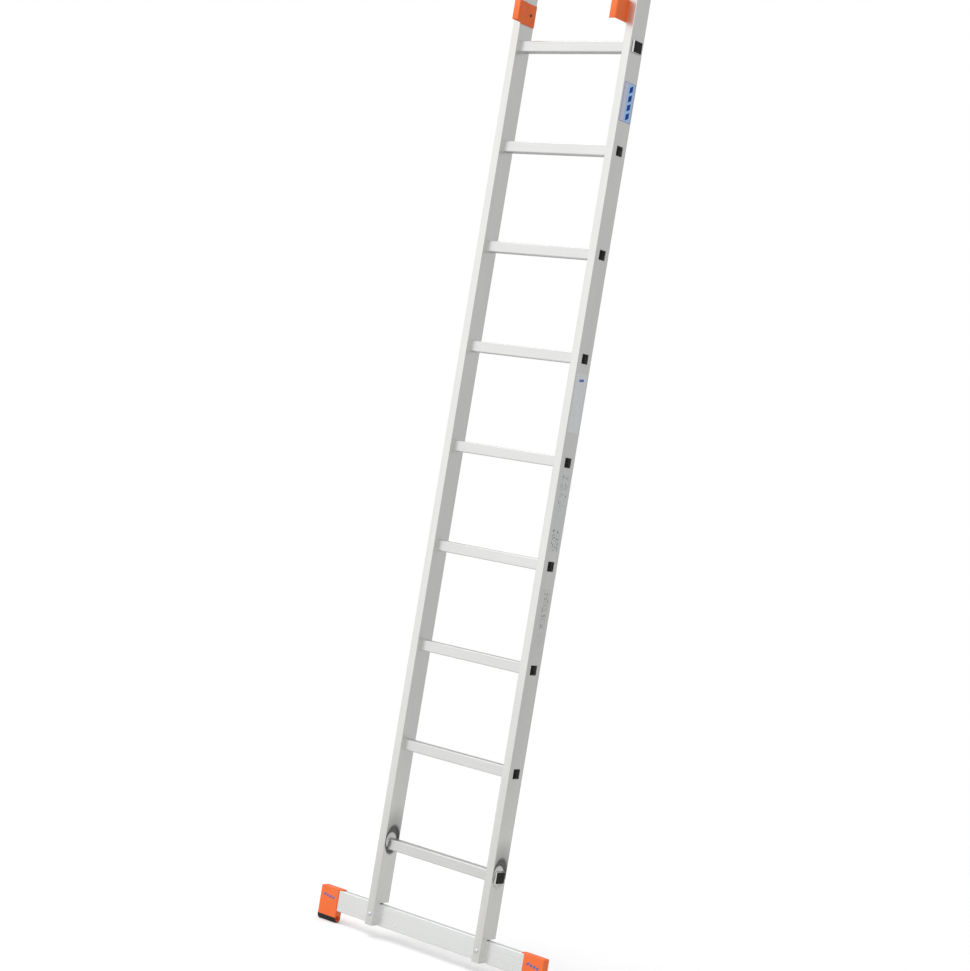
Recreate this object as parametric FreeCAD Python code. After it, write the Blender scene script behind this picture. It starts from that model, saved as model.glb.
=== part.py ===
import FreeCAD, Part
import math
import os

# Two-section push-up extension ladder, fully extended, standing upright.
# Units are millimetres. X runs along the rungs, Z up the stiles, and -Y is the climbing side.
# Shapes are drawn with y = 0 on the front faces of the base stiles and x = 0 half-way between them.
# export_node() then moves them back by CENTRE_Y, so that the origin lies under the middle of the ladder.

# ---- driving dimensions: base section ----
RUNG_PITCH = 280.0
RUNG_COUNT = 12
FIRST_RUNG_Z = 264.0
STILE_DEPTH = 60.0
STILE_WIDTH = 25.0
STILE_WALL = 1.5
STILE_CORNER = 2.0
CLEAR_WIDTH = 362.0
RUNG_SIZE = 30.0
RUNG_WALL = 1.6
RUNG_CORNER = 3.0
RUNG_SETBACK = 15.0
TOP_OVERHANG = 150.0
DISH_DEPTH = 5.0
DISH_RISE = 9.0                # centre of the dish above the lowest rung
DISH_RIM = (42.0, 27.6)        # half height and half width
DISH_FLOOR = (33.0, 22.6)
COLLAR_RISE = 7.0
# rise above the dish floor, half height and half width of each section of a collar
COLLAR_STEPS = ((0.0, 25.0, 21.6), (1.5, 24.2, 21.0), (3.0, 22.0, 19.6), (4.0, 18.0, 17.4))
FRAME_HEIGHT = 5.0
FRAME_INNER = (35.6, 30.6)     # depth and height of the opening round an end cap
FRAME_OUTER = (39.2, 34.0)
FRAME_GROOVE = 2.0

# ---- driving dimensions: stabiliser bar, end caps and soles ----
BAR_HEIGHT = 60.0
BAR_DEPTH = 20.0
BAR_WALL = 2.0
BAR_BOTTOM_Z = 34.0
BAR_SETBACK = 22.0
STILE_GAP_OVER_BAR = 2.0
CAP_END_X = 402.0
CAP_LENGTH = 67.0
CAP_WALL = 2.2
CAP_END_WALL = 6.0
CAP_TONGUE = 10.0
CAP_EDGE = 1.8
CAP_RIM = 1.2
CAP_RECESS = 14.0
SOLE_HEIGHT = 15.0
SOLE_THICKNESS = 3.5
SOLE_FLAT_DROP = 0.6
BOLT_R = 4.0
BOLT_CLEARANCE = 0.2

# ---- driving dimensions: guides that hold the fly section ----
GUIDE_HEIGHT = 60.0
GUIDE_ABOVE_RUNG = 61.0
GUIDE_REACH = 45.0
GUIDE_LIP = 22.0
GUIDE_WALL = 3.5
GUIDE_PLATE = 4.0
GUIDE_CORNER = 3.0
GUIDE_SINK = 2.0
GUIDE_RUNGS = (9, 12)

# ---- driving dimensions: fly section ----
FLY_WIDTH = 343.0
FLY_STILE_DEPTH = 50.0
FLY_FRONT_Y = -40.0
FLY_START_RUNG = 10
FLY_TAIL = 125.0
FOOT_THICKNESS = 3.0
FOOT_STUB = 25.0

# ---- driving dimensions: rung locks ----
LOCK_PIVOT_Y = 3.0
LOCK_PIVOT_ABOVE_RUNG = 38.0
LOCK_PIN_R = 4.0
LOCK_BORE_CLEARANCE = 0.05
LOCK_BOSS_R = 9.0
LOCK_THICKNESS = 10.0
LOCK_BRACKET_THICKNESS = 3.0
LOCK_SPRING_LENGTH = 5.5
LOCK_HEAD_THICKNESS = 4.0

# ---- values that follow from them ----
CENTRE_Y = (STILE_DEPTH - GUIDE_REACH) / 2
INNER_X = CLEAR_WIDTH / 2
OUTER_X = INNER_X + STILE_WIDTH
RUNG_Y = RUNG_SETBACK + RUNG_SIZE / 2
BAR_TOP_Z = BAR_BOTTOM_Z + BAR_HEIGHT
BOLT_Z = BAR_BOTTOM_Z + BAR_HEIGHT / 2
BAR_END_X = CAP_END_X - CAP_END_WALL
BAR_Y = BAR_SETBACK + BAR_DEPTH / 2
CAP_HALF_DEPTH = BAR_DEPTH / 2 + CAP_WALL
CAP_INNER_X = CAP_END_X - CAP_LENGTH
FLY_OUTER_X = FLY_WIDTH / 2
FLY_INNER_X = FLY_OUTER_X - STILE_WIDTH
FLY_RUNG_Y = FLY_FRONT_Y + FLY_STILE_DEPTH / 2
FLY_FIRST_Z = FIRST_RUNG_Z + (FLY_START_RUNG - 1) * RUNG_PITCH
STILE_TOP_Z = FIRST_RUNG_Z + (RUNG_COUNT - 1) * RUNG_PITCH + TOP_OVERHANG
FLY_BOTTOM_Z = FLY_FIRST_Z - FLY_TAIL
FLY_TOP_Z = FLY_FIRST_Z + (RUNG_COUNT - 1) * RUNG_PITCH + TOP_OVERHANG
LOCK_Z = FLY_FIRST_Z + LOCK_PIVOT_ABOVE_RUNG
ALONG_X = FreeCAD.Vector(1, 0, 0)
ALONG_Y = FreeCAD.Vector(0, 1, 0)
ALONG_Z = FreeCAD.Vector(0, 0, 1)
ORIGIN = FreeCAD.Vector(0, 0, 0)


def base_rung_z(number):
    """Height of the centre of a base rung, counted from 1 at the bottom."""
    return FIRST_RUNG_Z + (number - 1) * RUNG_PITCH


def fly_rung_z(number):
    """Height of the centre of a fly rung, counted from 1 at the bottom."""
    return FLY_FIRST_Z + (number - 1) * RUNG_PITCH


# ---- small helpers ----
def block(x_span, y_span, z_span):
    """Box between the two ends of each span."""
    size = [span[1] - span[0] for span in (x_span, y_span, z_span)]
    return Part.makeBox(size[0], size[1], size[2], FreeCAD.Vector(x_span[0], y_span[0], z_span[0]))


def rounded_block(x_span, y_span, z_span, axis, radius):
    """Box whose four edges along axis are rounded."""
    shape = block(x_span, y_span, z_span)
    edges = []
    for edge in shape.Edges:
        if edge.tangentAt(edge.FirstParameter).cross(axis).Length < 1e-6:
            edges.append(edge)
    return shape.makeFillet(radius, edges)


def around(centre, size):
    """Span of a size about its centre."""
    return (centre - size / 2, centre + size / 2)


def shrunk(span, wall):
    """Span drawn in by a wall at each end."""
    return (span[0] + wall, span[1] - wall)


def rod(radius, start, end):
    """Round bar between two points."""
    return Part.makeCylinder(radius, (end - start).Length, start, end - start)


def prism(points, axis, length):
    """Straight-edged outline pushed along an axis."""
    wire = Part.makePolygon([FreeCAD.Vector(*point) for point in points + points[:1]])
    return Part.Face(wire).extrude(axis * length)


def mirrored(shape):
    """The same shape on the other side of the ladder."""
    return shape.mirror(ORIGIN, ALONG_X)


def moved(shape, x=0.0, y=0.0, z=0.0):
    """Copy of a shape, shifted."""
    return shape.translated(FreeCAD.Vector(x, y, z))


def export_node(name, shapes):
    """Write one node from one solid or from a group of separate solids."""
    solids = shapes if isinstance(shapes, list) else [shapes]
    shape = solids[0] if len(solids) == 1 else Part.makeCompound(solids)
    shape.translated(FreeCAD.Vector(0, -CENTRE_Y, 0)).exportStep("parts/%s.step" % name)


def export_pair(name, right_shape):
    """Write the right-hand piece and its mirror image on the left."""
    export_node(name + "_right", right_shape)
    export_node(name + "_left", mirrored(right_shape))


# ---- stiles and rungs ----
def stile_tube(x_span, y_span, z_span):
    """Closed rectangular tube with rounded corners."""
    outside = rounded_block(x_span, y_span, z_span, ALONG_Z, STILE_CORNER)
    bore_x = shrunk(x_span, STILE_WALL)
    bore_y = shrunk(y_span, STILE_WALL)
    return outside.cut(block(bore_x, bore_y, z_span))


def rung_hole(x_span, y_centre, z_centre):
    """Square hole that a rung passes through."""
    y_span = around(y_centre, RUNG_SIZE)
    z_span = around(z_centre, RUNG_SIZE)
    return rounded_block(x_span, y_span, z_span, ALONG_X, RUNG_CORNER)


def oval_loft(centre, sections, ruled):
    """Oval plug along X about a centre, from sections of x, half height and half width."""
    wires = []
    for x, half_height, half_width in sections:
        middle = centre + ALONG_X * x
        ellipse = Part.Ellipse(middle + ALONG_Z * half_height, middle + ALONG_Y * half_width, middle)
        wires.append(Part.Wire(ellipse.toShape()))
    return Part.makeLoft(wires, True, ruled)


def dished(stile, face_x, inward):
    """Stile with an oval dish pressed into one web around the lowest rung."""
    centre = FreeCAD.Vector(0, RUNG_Y, base_rung_z(1) + DISH_RISE)
    shapes = []
    for depth, extra in ((DISH_DEPTH + STILE_WALL, STILE_WALL / 2), (DISH_DEPTH, 0.0)):
        sections = [(face_x, DISH_RIM[0] + extra, DISH_RIM[1] + extra),
                    (face_x + inward * depth, DISH_FLOOR[0] + extra, DISH_FLOOR[1] + extra)]
        shapes.append(oval_loft(centre, sections, True))
    return stile.fuse(shapes[0]).cut(shapes[1])


def frame_groove(depth=1.0):
    """Shallow groove in the outer web round the framed end of the ninth rung."""
    x_span = (OUTER_X - depth, OUTER_X + depth)
    spans = []
    for grow in (2 * FRAME_GROOVE, 0.0):
        y_span = around(RUNG_Y, FRAME_OUTER[0] + grow)
        z_span = around(base_rung_z(GUIDE_RUNGS[0]), FRAME_OUTER[1] + grow)
        spans.append(block(x_span, y_span, z_span))
    return spans[0].cut(spans[1])


def base_stile():
    """Right-hand base stile; its tip passes in front of the stabiliser bar."""
    x_span = (INNER_X, OUTER_X)
    stile = stile_tube(x_span, (0.0, STILE_DEPTH), (BAR_BOTTOM_Z, STILE_TOP_Z))
    stile = dished(stile, INNER_X, 1)
    stile = dished(stile, OUTER_X, -1)
    wide = (INNER_X - 1, OUTER_X + 1)
    cuts = [rung_hole(wide, RUNG_Y, base_rung_z(number)) for number in range(1, RUNG_COUNT + 1)]
    cuts.append(frame_groove())
    cuts.append(block(wide, (BAR_SETBACK, STILE_DEPTH + 1), (0.0, BAR_TOP_Z + STILE_GAP_OVER_BAR)))
    bolt_x = (INNER_X + OUTER_X) / 2
    cuts.append(rod(BOLT_R + BOLT_CLEARANCE, FreeCAD.Vector(bolt_x, -1, BOLT_Z),
                    FreeCAD.Vector(bolt_x, BAR_SETBACK, BOLT_Z)))
    return stile.cut(cuts)


def fly_stile():
    """Right-hand fly stile, which runs inside the guides."""
    y_span = (FLY_FRONT_Y, FLY_FRONT_Y + FLY_STILE_DEPTH)
    stile = stile_tube((FLY_INNER_X, FLY_OUTER_X), y_span, (FLY_BOTTOM_Z, FLY_TOP_Z))
    wide = (FLY_INNER_X - 1, FLY_OUTER_X + 1)
    holes = [rung_hole(wide, FLY_RUNG_Y, fly_rung_z(number)) for number in range(1, RUNG_COUNT + 1)]
    return stile.cut(holes)


def tread_grooves(half_length, count=5, width=1.6, depth=0.6, spacing=4.2):
    """Anti-slip grooves along the top and the underside of a rung at the origin."""
    grooves = []
    for index in range(count):
        y_span = around((index - (count - 1) / 2) * spacing, width)
        for side in (-1, 1):
            z_span = around(side * RUNG_SIZE / 2, 2 * depth)
            grooves.append(block((-half_length, half_length), y_span, z_span))
    return grooves


def square_ring(x_span, size):
    """Swaged bead that grips a stile web on one side."""
    ring = rounded_block(x_span, around(0, size), around(0, size), ALONG_X, RUNG_CORNER + 1)
    return ring.cut(block(x_span, around(0, RUNG_SIZE - 2), around(0, RUNG_SIZE - 2)))


def rung(end_x, bead_x, rim=0.6, rim_width=1.4, bead=1.4, bead_width=1.8, extras=()):
    """Square tube rung at the origin, flared at the ends and beaded inside the webs, with any extra rings."""
    section = around(0, RUNG_SIZE)
    tube = rounded_block((-end_x, end_x), section, section, ALONG_X, RUNG_CORNER)
    for side in (-1, 1):
        inner_bead = sorted((side * bead_x, side * (bead_x - bead)))
        tube = tube.fuse(square_ring(inner_bead, RUNG_SIZE + 2 * bead_width))
        if rim:
            outer_rim = sorted((side * end_x, side * (end_x + rim)))
            tube = tube.fuse(square_ring(outer_rim, RUNG_SIZE + 2 * rim_width))
    for extra in extras:
        tube = tube.fuse(extra)
    hollow = shrunk(section, RUNG_WALL)
    bore_x = (-end_x - FRAME_HEIGHT - 1, end_x + FRAME_HEIGHT + 1)
    tube = tube.cut(rounded_block(bore_x, hollow, hollow, ALONG_X, RUNG_CORNER - RUNG_WALL / 2))
    return tube.cut(tread_grooves(bead_x - 2 * bead)).removeSplitter()


def dish_collars():
    """Rounded collars on the floors of the four dishes, for a rung at the origin."""
    collars = []
    for side in (-1, 1):
        for floor_x, outward in ((INNER_X + DISH_DEPTH, -1), (OUTER_X - DISH_DEPTH, 1)):
            steps = [(side * (floor_x + outward * rise), high, wide) for rise, high, wide in COLLAR_STEPS]
            collars.append(oval_loft(ALONG_Z * COLLAR_RISE, steps, False))
    return collars


def cap_frames(plate=0.6):
    """Frames with a sloping outside round both end caps, for a rung at the origin."""
    frames = []
    for side in (-1, 1):
        outlines = []
        for rise in (0.0, FRAME_HEIGHT):
            y_span = around(0, FRAME_OUTER[0] - rise * (FRAME_OUTER[0] - FRAME_INNER[0] - 1) / FRAME_HEIGHT)
            z_span = around(0, FRAME_OUTER[1] - rise * (FRAME_OUTER[1] - FRAME_INNER[1] - 1) / FRAME_HEIGHT)
            x = side * (OUTER_X + rise)
            turns = ((0, 0), (1, 0), (1, 1), (0, 1), (0, 0))
            outlines.append(Part.makePolygon([FreeCAD.Vector(x, y_span[i], z_span[j]) for i, j in turns]))
        opening = sorted((side * (OUTER_X + plate), side * (OUTER_X + FRAME_HEIGHT + 1)))
        window = block(opening, around(0, FRAME_INNER[0]), around(0, FRAME_INNER[1]))
        frames.append(Part.makeLoft(outlines, True, True).cut(window))
    return frames


def rung_plug(end_x, recess=11.0, thickness=8.0):
    """Plug pressed into the right-hand end of a rung at the origin."""
    size = around(0, RUNG_SIZE - 2 * RUNG_WALL)
    x_span = (end_x - recess - thickness, end_x - recess)
    plug = rounded_block(x_span, size, size, ALONG_X, RUNG_CORNER - RUNG_WALL / 2)
    return plug.cut(rod(5.0, FreeCAD.Vector(x_span[1] - 3, 0, 0), FreeCAD.Vector(x_span[1], 0, 0)))


def rung_end_cap(x_face, stand_off=0.6, thickness=5.5, width=35.0, height=30.0, stub=14.0):
    """Domed cap over the right-hand end of a rung at the origin, with its stub in the tube."""
    x_start = x_face + stand_off
    dome = rounded_block((x_start, x_start + thickness), around(0, width), around(0, height), ALONG_X, 3.0)
    front = [edge for edge in dome.Edges if abs(edge.CenterOfMass.x - x_start - thickness) < 1e-6]
    dome = dome.makeFillet(1.2, front)
    size = around(0, RUNG_SIZE - 2 * RUNG_WALL)
    plug = rounded_block((x_start - stub, x_start), size, size, ALONG_X, RUNG_CORNER - RUNG_WALL / 2)
    return dome.fuse(plug).removeSplitter()


def make_base_rungs():
    """Twelve base rungs, with plugs in the plain ends and caps on the lowest and the ninth."""
    kinds = {1: rung(OUTER_X, INNER_X + DISH_DEPTH, bead_width=0.0, extras=dish_collars() + cap_frames()),
             GUIDE_RUNGS[0]: rung(OUTER_X, INNER_X, extras=cap_frames())}
    plain_rung = rung(OUTER_X, INNER_X)
    plug = rung_plug(OUTER_X)
    end_cap = rung_end_cap(OUTER_X)
    plugs = []
    end_caps = []
    for number in range(1, RUNG_COUNT + 1):
        height = base_rung_z(number)
        shape = kinds.get(number, plain_rung)
        export_node("base_rung_%02d" % number, moved(shape, 0, RUNG_Y, height))
        group = end_caps if number in kinds else plugs
        piece = moved(end_cap if number in kinds else plug, 0, RUNG_Y, height)
        group.extend([piece, mirrored(piece)])
    export_node("base_rung_plugs", plugs)
    export_node("base_rung_end_caps", end_caps)


def make_fly_rungs():
    """Twelve fly rungs with plugs in both ends."""
    one_rung = rung(FLY_OUTER_X, FLY_INNER_X, rim=0.0)
    plug = rung_plug(FLY_OUTER_X)
    plugs = []
    for number in range(1, RUNG_COUNT + 1):
        height = fly_rung_z(number)
        export_node("fly_rung_%02d" % number, moved(one_rung, 0, FLY_RUNG_Y, height))
        piece = moved(plug, 0, FLY_RUNG_Y, height)
        plugs.extend([piece, mirrored(piece)])
    export_node("fly_rung_plugs", plugs)


# ---- stile ends ----
def stile_end(x_span, y_span, z_face, outward):
    """Plastic end piece: a plate over the stile's end with a stub inside the tube."""
    plate_z = sorted((z_face, z_face + outward * FOOT_THICKNESS))
    plate = rounded_block(x_span, y_span, plate_z, ALONG_Z, STILE_CORNER)
    stub_z = sorted((z_face, z_face - outward * FOOT_STUB))
    stub = block(shrunk(x_span, STILE_WALL), shrunk(y_span, STILE_WALL), stub_z)
    hollow = block(shrunk(x_span, 4.0), shrunk(y_span, 4.0), stub_z)
    return plate.fuse(stub.cut(hollow))


def make_stile_ends():
    """Top caps of both sections and the feet of the fly section."""
    base_cap = stile_end((INNER_X, OUTER_X), (0.0, STILE_DEPTH), STILE_TOP_Z, 1)
    fly_x = (FLY_INNER_X, FLY_OUTER_X)
    fly_y = (FLY_FRONT_Y, FLY_FRONT_Y + FLY_STILE_DEPTH)
    fly_cap = stile_end(fly_x, fly_y, FLY_TOP_Z, 1)
    export_node("base_top_caps", [base_cap, mirrored(base_cap)])
    export_node("fly_top_caps", [fly_cap, mirrored(fly_cap)])
    export_pair("fly_foot", stile_end(fly_x, fly_y, FLY_BOTTOM_Z, -1))


# ---- stabiliser ----
def stabiliser_bar():
    """Cross tube behind the tips of the base stiles."""
    y_span = (BAR_SETBACK, BAR_SETBACK + BAR_DEPTH)
    z_span = (BAR_BOTTOM_Z, BAR_TOP_Z)
    bar = rounded_block((-BAR_END_X, BAR_END_X), y_span, z_span, ALONG_X, 2.5)
    bar = bar.cut(block((-BAR_END_X, BAR_END_X), shrunk(y_span, BAR_WALL), shrunk(z_span, BAR_WALL)))
    holes = []
    for side in (-1, 1):
        bolt_x = side * (INNER_X + OUTER_X) / 2
        start = FreeCAD.Vector(bolt_x, y_span[0] - 1, BOLT_Z)
        end = FreeCAD.Vector(bolt_x, y_span[1] + 1, BOLT_Z)
        holes.append(rod(BOLT_R + BOLT_CLEARANCE, start, end))
    return bar.cut(holes)


def stabiliser_bolt(head_r=6.5, head_thickness=3.5, nut_r=7.5, nut_thickness=6.0):
    """Right-hand bolt and its nut, which clamp the stile tip to the bar."""
    x = (INNER_X + OUTER_X) / 2
    back_y = BAR_SETBACK + BAR_DEPTH
    shank = rod(BOLT_R, FreeCAD.Vector(x, 0, BOLT_Z), FreeCAD.Vector(x, back_y + nut_thickness + 3, BOLT_Z))
    head = rod(head_r, FreeCAD.Vector(x, -head_thickness, BOLT_Z), FreeCAD.Vector(x, 0, BOLT_Z))
    front = [edge for edge in head.Edges if abs(edge.CenterOfMass.y + head_thickness) < 1e-6]
    head = head.makeFillet(2.0, front)
    corners = []
    for corner in range(6):
        angle = math.radians(60 * corner)
        corners.append((x + nut_r * math.cos(angle), back_y, BOLT_Z + nut_r * math.sin(angle)))
    nut = prism(corners, ALONG_Y, nut_thickness)
    return [head.fuse(shank), nut.cut(shank)]


def foot_outline(half_depth, bottom_centre_z, top_z, x_start, length):
    """Upright bar with a half-round bottom, pushed along X."""
    upright = block((x_start, x_start + length), around(BAR_Y, 2 * half_depth), (bottom_centre_z, top_z))
    start = FreeCAD.Vector(x_start, BAR_Y, bottom_centre_z)
    return upright.fuse(rod(half_depth, start, start + ALONG_X * length)).removeSplitter()


def stabiliser_foot():
    """Right-hand end cap and the rubber sole that wraps its half-round bottom."""
    round_z = CAP_HALF_DEPTH - SOLE_FLAT_DROP
    top_z = BAR_TOP_Z + CAP_WALL
    outside = foot_outline(CAP_HALF_DEPTH, round_z, top_z, CAP_INNER_X, CAP_LENGTH)
    rounded = []
    for edge in outside.Edges:
        middle = edge.CenterOfMass
        on_end = abs(middle.x - CAP_END_X) < 1e-6
        on_top = abs(middle.z - top_z) < 1e-6 and middle.x > CAP_INNER_X + 1
        if on_end or on_top:
            rounded.append(edge)
    outside = outside.makeFillet(CAP_EDGE, rounded)
    outside = outside.cut(block((0, 2 * CAP_END_X), (0, 2 * STILE_DEPTH), (-CAP_HALF_DEPTH, 0)))
    core = foot_outline(CAP_HALF_DEPTH - SOLE_THICKNESS, round_z, SOLE_HEIGHT, CAP_INNER_X, CAP_LENGTH)
    low = block((0, 2 * CAP_END_X), (0, 2 * STILE_DEPTH), (0, SOLE_HEIGHT))
    sole = outside.common(low).cut(core)
    tongue = block((CAP_INNER_X - CAP_TONGUE, CAP_INNER_X + 5), around(BAR_Y, 2 * CAP_HALF_DEPTH - 4),
                   (BAR_TOP_Z, top_z))
    socket = block((CAP_INNER_X, BAR_END_X), around(BAR_Y, BAR_DEPTH), (BAR_BOTTOM_Z, BAR_TOP_Z))
    recess_end = FreeCAD.Vector(CAP_INNER_X, BAR_Y, round_z)
    recess = rod(CAP_HALF_DEPTH - SOLE_THICKNESS - CAP_RIM, recess_end, recess_end + ALONG_X * CAP_RECESS)
    cap = outside.cut(sole).fuse(tongue).cut([socket, recess]).removeSplitter()
    return cap, sole


def cap_badge(width=44.0, height=11.0, thickness=0.3):
    """Plain slanted oval badge on the front of the right-hand cap."""
    front_y = BAR_Y - CAP_HALF_DEPTH
    centre = FreeCAD.Vector(CAP_END_X - CAP_LENGTH / 2, front_y, BAR_TOP_Z - 24)
    ellipse = Part.Ellipse(centre + ALONG_X * width / 2, centre + ALONG_Z * height / 2, centre)
    badge = Part.Face(Part.Wire(ellipse.toShape())).extrude(ALONG_Y * -thickness)
    badge.rotate(centre, ALONG_Y, 8)
    return badge


def make_stabiliser():
    """Bar, bolts, end caps, soles and badges."""
    export_node("stabiliser_bar", stabiliser_bar())
    bolt = stabiliser_bolt()
    export_node("stabiliser_bolts", bolt + [mirrored(piece) for piece in bolt])
    cap, sole = stabiliser_foot()
    export_pair("stabiliser_cap", cap)
    export_pair("stabiliser_sole", sole)
    badge = cap_badge()
    left_badge = moved(badge, -2 * (CAP_END_X - CAP_LENGTH / 2))
    export_node("cap_badges", [badge, left_badge])


# ---- guides ----
def guide(bottom_z):
    """Right-hand plastic guide: a plate on the web, an arm reaching forward and a lip turned in."""
    z_span = (bottom_z, bottom_z + GUIDE_HEIGHT)
    plate_x = (INNER_X - GUIDE_PLATE, INNER_X)
    arm_x = (plate_x[0] - GUIDE_WALL, plate_x[0])
    plate = block(plate_x, (STILE_CORNER, STILE_DEPTH - STILE_CORNER), z_span)
    jog = block((arm_x[0], plate_x[1]), (STILE_CORNER, STILE_CORNER + 2 * GUIDE_WALL), z_span)
    arm = block(arm_x, (-GUIDE_REACH, STILE_CORNER + GUIDE_WALL), z_span)
    lip = block((arm_x[1] - GUIDE_LIP, arm_x[1]), (-GUIDE_REACH, -GUIDE_REACH + GUIDE_WALL), z_span)
    body = plate.fuse([jog, arm, lip]).removeSplitter()
    rounded = []
    for edge in body.Edges:
        middle = edge.CenterOfMass
        at_corner = abs(middle.x - arm_x[1]) < 1e-6 and abs(middle.y + GUIDE_REACH) < 1e-6
        at_rear = abs(middle.x - plate_x[0]) < 1e-6 and abs(middle.y - STILE_DEPTH + STILE_CORNER) < 1e-6
        if at_corner or at_rear:
            rounded.append(edge)
    body = body.makeFillet(GUIDE_CORNER, rounded)
    place = FreeCAD.Vector(0, STILE_DEPTH * 0.6, bottom_z + GUIDE_HEIGHT / 2)
    hole = rod(2.6, place + ALONG_X * (plate_x[0] - 1), place + ALONG_X * INNER_X)
    sink = rod(5.2, place + ALONG_X * (plate_x[0] - 1), place + ALONG_X * (plate_x[0] + GUIDE_SINK))
    return body.cut([hole, sink])


def guide_screw(bottom_z):
    """Right-hand self-tapping screw that holds a guide, ending flush with the web."""
    place = FreeCAD.Vector(0, STILE_DEPTH * 0.6, bottom_z + GUIDE_HEIGHT / 2)
    head_x = INNER_X - GUIDE_PLATE + GUIDE_SINK
    shank = rod(2.5, place + ALONG_X * head_x, place + ALONG_X * INNER_X)
    head = rod(4.5, place + ALONG_X * (head_x - 1.6), place + ALONG_X * head_x)
    return head.fuse(shank)


def make_guides():
    """Lower and upper pair of guides with their screws."""
    screws = []
    for name, number in zip(("lower", "upper"), GUIDE_RUNGS):
        bottom_z = base_rung_z(number) + GUIDE_ABOVE_RUNG
        export_pair("guide_" + name, guide(bottom_z))
        screw = guide_screw(bottom_z)
        screws.extend([screw, mirrored(screw)])
    export_node("guide_screws", screws)


# ---- labels on the outer face of the right-hand base stile ----
def make_labels(thickness=0.2):
    """Blank stickers: name, offset above a rung, that rung, width and height."""
    labels = (("label_name_panel", 8, 79.0, 50.0, 105.0), ("label_rating_panel", 5, 82.0, 46.0, 158.0),
              ("label_picture_panel", 4, 40.0, 46.0, 215.0), ("label_batch_panel", 3, 60.0, 40.0, 160.0))
    for name, number, offset, width, height in labels:
        bottom_z = base_rung_z(number) + offset
        label = block((OUTER_X, OUTER_X + thickness), around(STILE_DEPTH / 2, width),
                      (bottom_z, bottom_z + height))
        export_node(name, label)


# ---- rung locks ----
def lock_hook():
    """Right-hand hook that drops over a base rung; it swings on the pin above that rung."""
    x_start = FLY_INNER_X - LOCK_BRACKET_THICKNESS - LOCK_SPRING_LENGTH - LOCK_THICKNESS
    outline = [(-2, -9), (10, -14), (11.5, -21.5), (43.5, -21.5), (43.5, -43), (49, -43), (52, -38),
               (52, -10), (44, 1), (24, 9), (0, 9)]
    points = [(x_start, LOCK_PIVOT_Y + y, LOCK_Z + z) for y, z in outline]
    arm = prism(points, ALONG_X, LOCK_THICKNESS)
    start = FreeCAD.Vector(x_start, LOCK_PIVOT_Y, LOCK_Z)
    end = start + ALONG_X * LOCK_THICKNESS
    hook = arm.fuse(rod(LOCK_BOSS_R, start, end)).removeSplitter()
    return hook.cut(rod(LOCK_PIN_R + LOCK_BORE_CLEARANCE, start, end))


def lock_bracket():
    """Right-hand plate riveted to the inner face of the fly stile, with the pin's hole."""
    x_span = (FLY_INNER_X - LOCK_BRACKET_THICKNESS, FLY_INNER_X)
    plate = rounded_block(x_span, (FLY_FRONT_Y + 5, LOCK_PIVOT_Y + 7), around(LOCK_Z, 40), ALONG_X, 5.0)
    holes = [rod(2.5, FreeCAD.Vector(x_span[0], y, z), FreeCAD.Vector(x_span[1], y, z))
             for y, z in rivet_places()]
    pin_start = FreeCAD.Vector(x_span[0], LOCK_PIVOT_Y, LOCK_Z)
    return plate.cut(holes + [rod(LOCK_PIN_R, pin_start, pin_start + ALONG_X * LOCK_BRACKET_THICKNESS)])


def rivet_places():
    """Depth and height of the two rivets of a lock bracket."""
    return [(FLY_FRONT_Y + 15, LOCK_Z - 10), (FLY_FRONT_Y + 15, LOCK_Z + 10)]


def lock_rivets():
    """Right-hand rivets, headed over the bracket."""
    head_x = FLY_INNER_X - LOCK_BRACKET_THICKNESS
    rivets = []
    for y, z in rivet_places():
        shank = rod(2.5, FreeCAD.Vector(head_x, y, z), FreeCAD.Vector(FLY_INNER_X, y, z))
        rivets.append(shank.fuse(rod(4.5, FreeCAD.Vector(head_x - 2, y, z), FreeCAD.Vector(head_x, y, z))))
    return rivets


def lock_pin():
    """Right-hand pivot pin with a head inboard of the hook."""
    hook_x = FLY_INNER_X - LOCK_BRACKET_THICKNESS - LOCK_SPRING_LENGTH - LOCK_THICKNESS
    start = FreeCAD.Vector(hook_x - 0.5, LOCK_PIVOT_Y, LOCK_Z)
    end = FreeCAD.Vector(FLY_INNER_X, LOCK_PIVOT_Y, LOCK_Z)
    head = rod(LOCK_PIN_R + 3, start - ALONG_X * LOCK_HEAD_THICKNESS, start)
    return rod(LOCK_PIN_R, start, end).fuse(head)


def lock_spring(wire_r=0.7, coil_r=6.0, turns=3):
    """Right-hand torsion spring around the pin, between the hook and the bracket."""
    x_end = FLY_INNER_X - LOCK_BRACKET_THICKNESS - wire_r - 0.3
    length = LOCK_SPRING_LENGTH - 2 * wire_r - 0.8
    rings = []
    for turn in range(turns):
        centre = FreeCAD.Vector(x_end - length * turn / (turns - 1), LOCK_PIVOT_Y, LOCK_Z)
        rings.append(Part.makeTorus(coil_r, wire_r, centre, ALONG_X))
    return rings


def make_locks():
    """Hooks, brackets, pins, springs and rivets at the lowest fly rung."""
    export_pair("lock_hook", lock_hook())
    export_pair("lock_bracket", lock_bracket())
    pin = lock_pin()
    export_node("lock_pins", [pin, mirrored(pin)])
    springs = lock_spring()
    export_node("lock_springs", springs + [mirrored(ring) for ring in springs])
    rivets = lock_rivets()
    export_node("lock_rivets", rivets + [mirrored(rivet) for rivet in rivets])


def main():
    os.makedirs("parts", exist_ok=True)
    export_pair("base_stile", base_stile())
    export_pair("fly_stile", fly_stile())
    make_base_rungs()
    make_fly_rungs()
    make_stile_ends()
    make_stabiliser()
    make_guides()
    make_labels()
    make_locks()


main()
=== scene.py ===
import math

import bmesh
import bpy
from mathutils import Matrix, Vector

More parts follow.
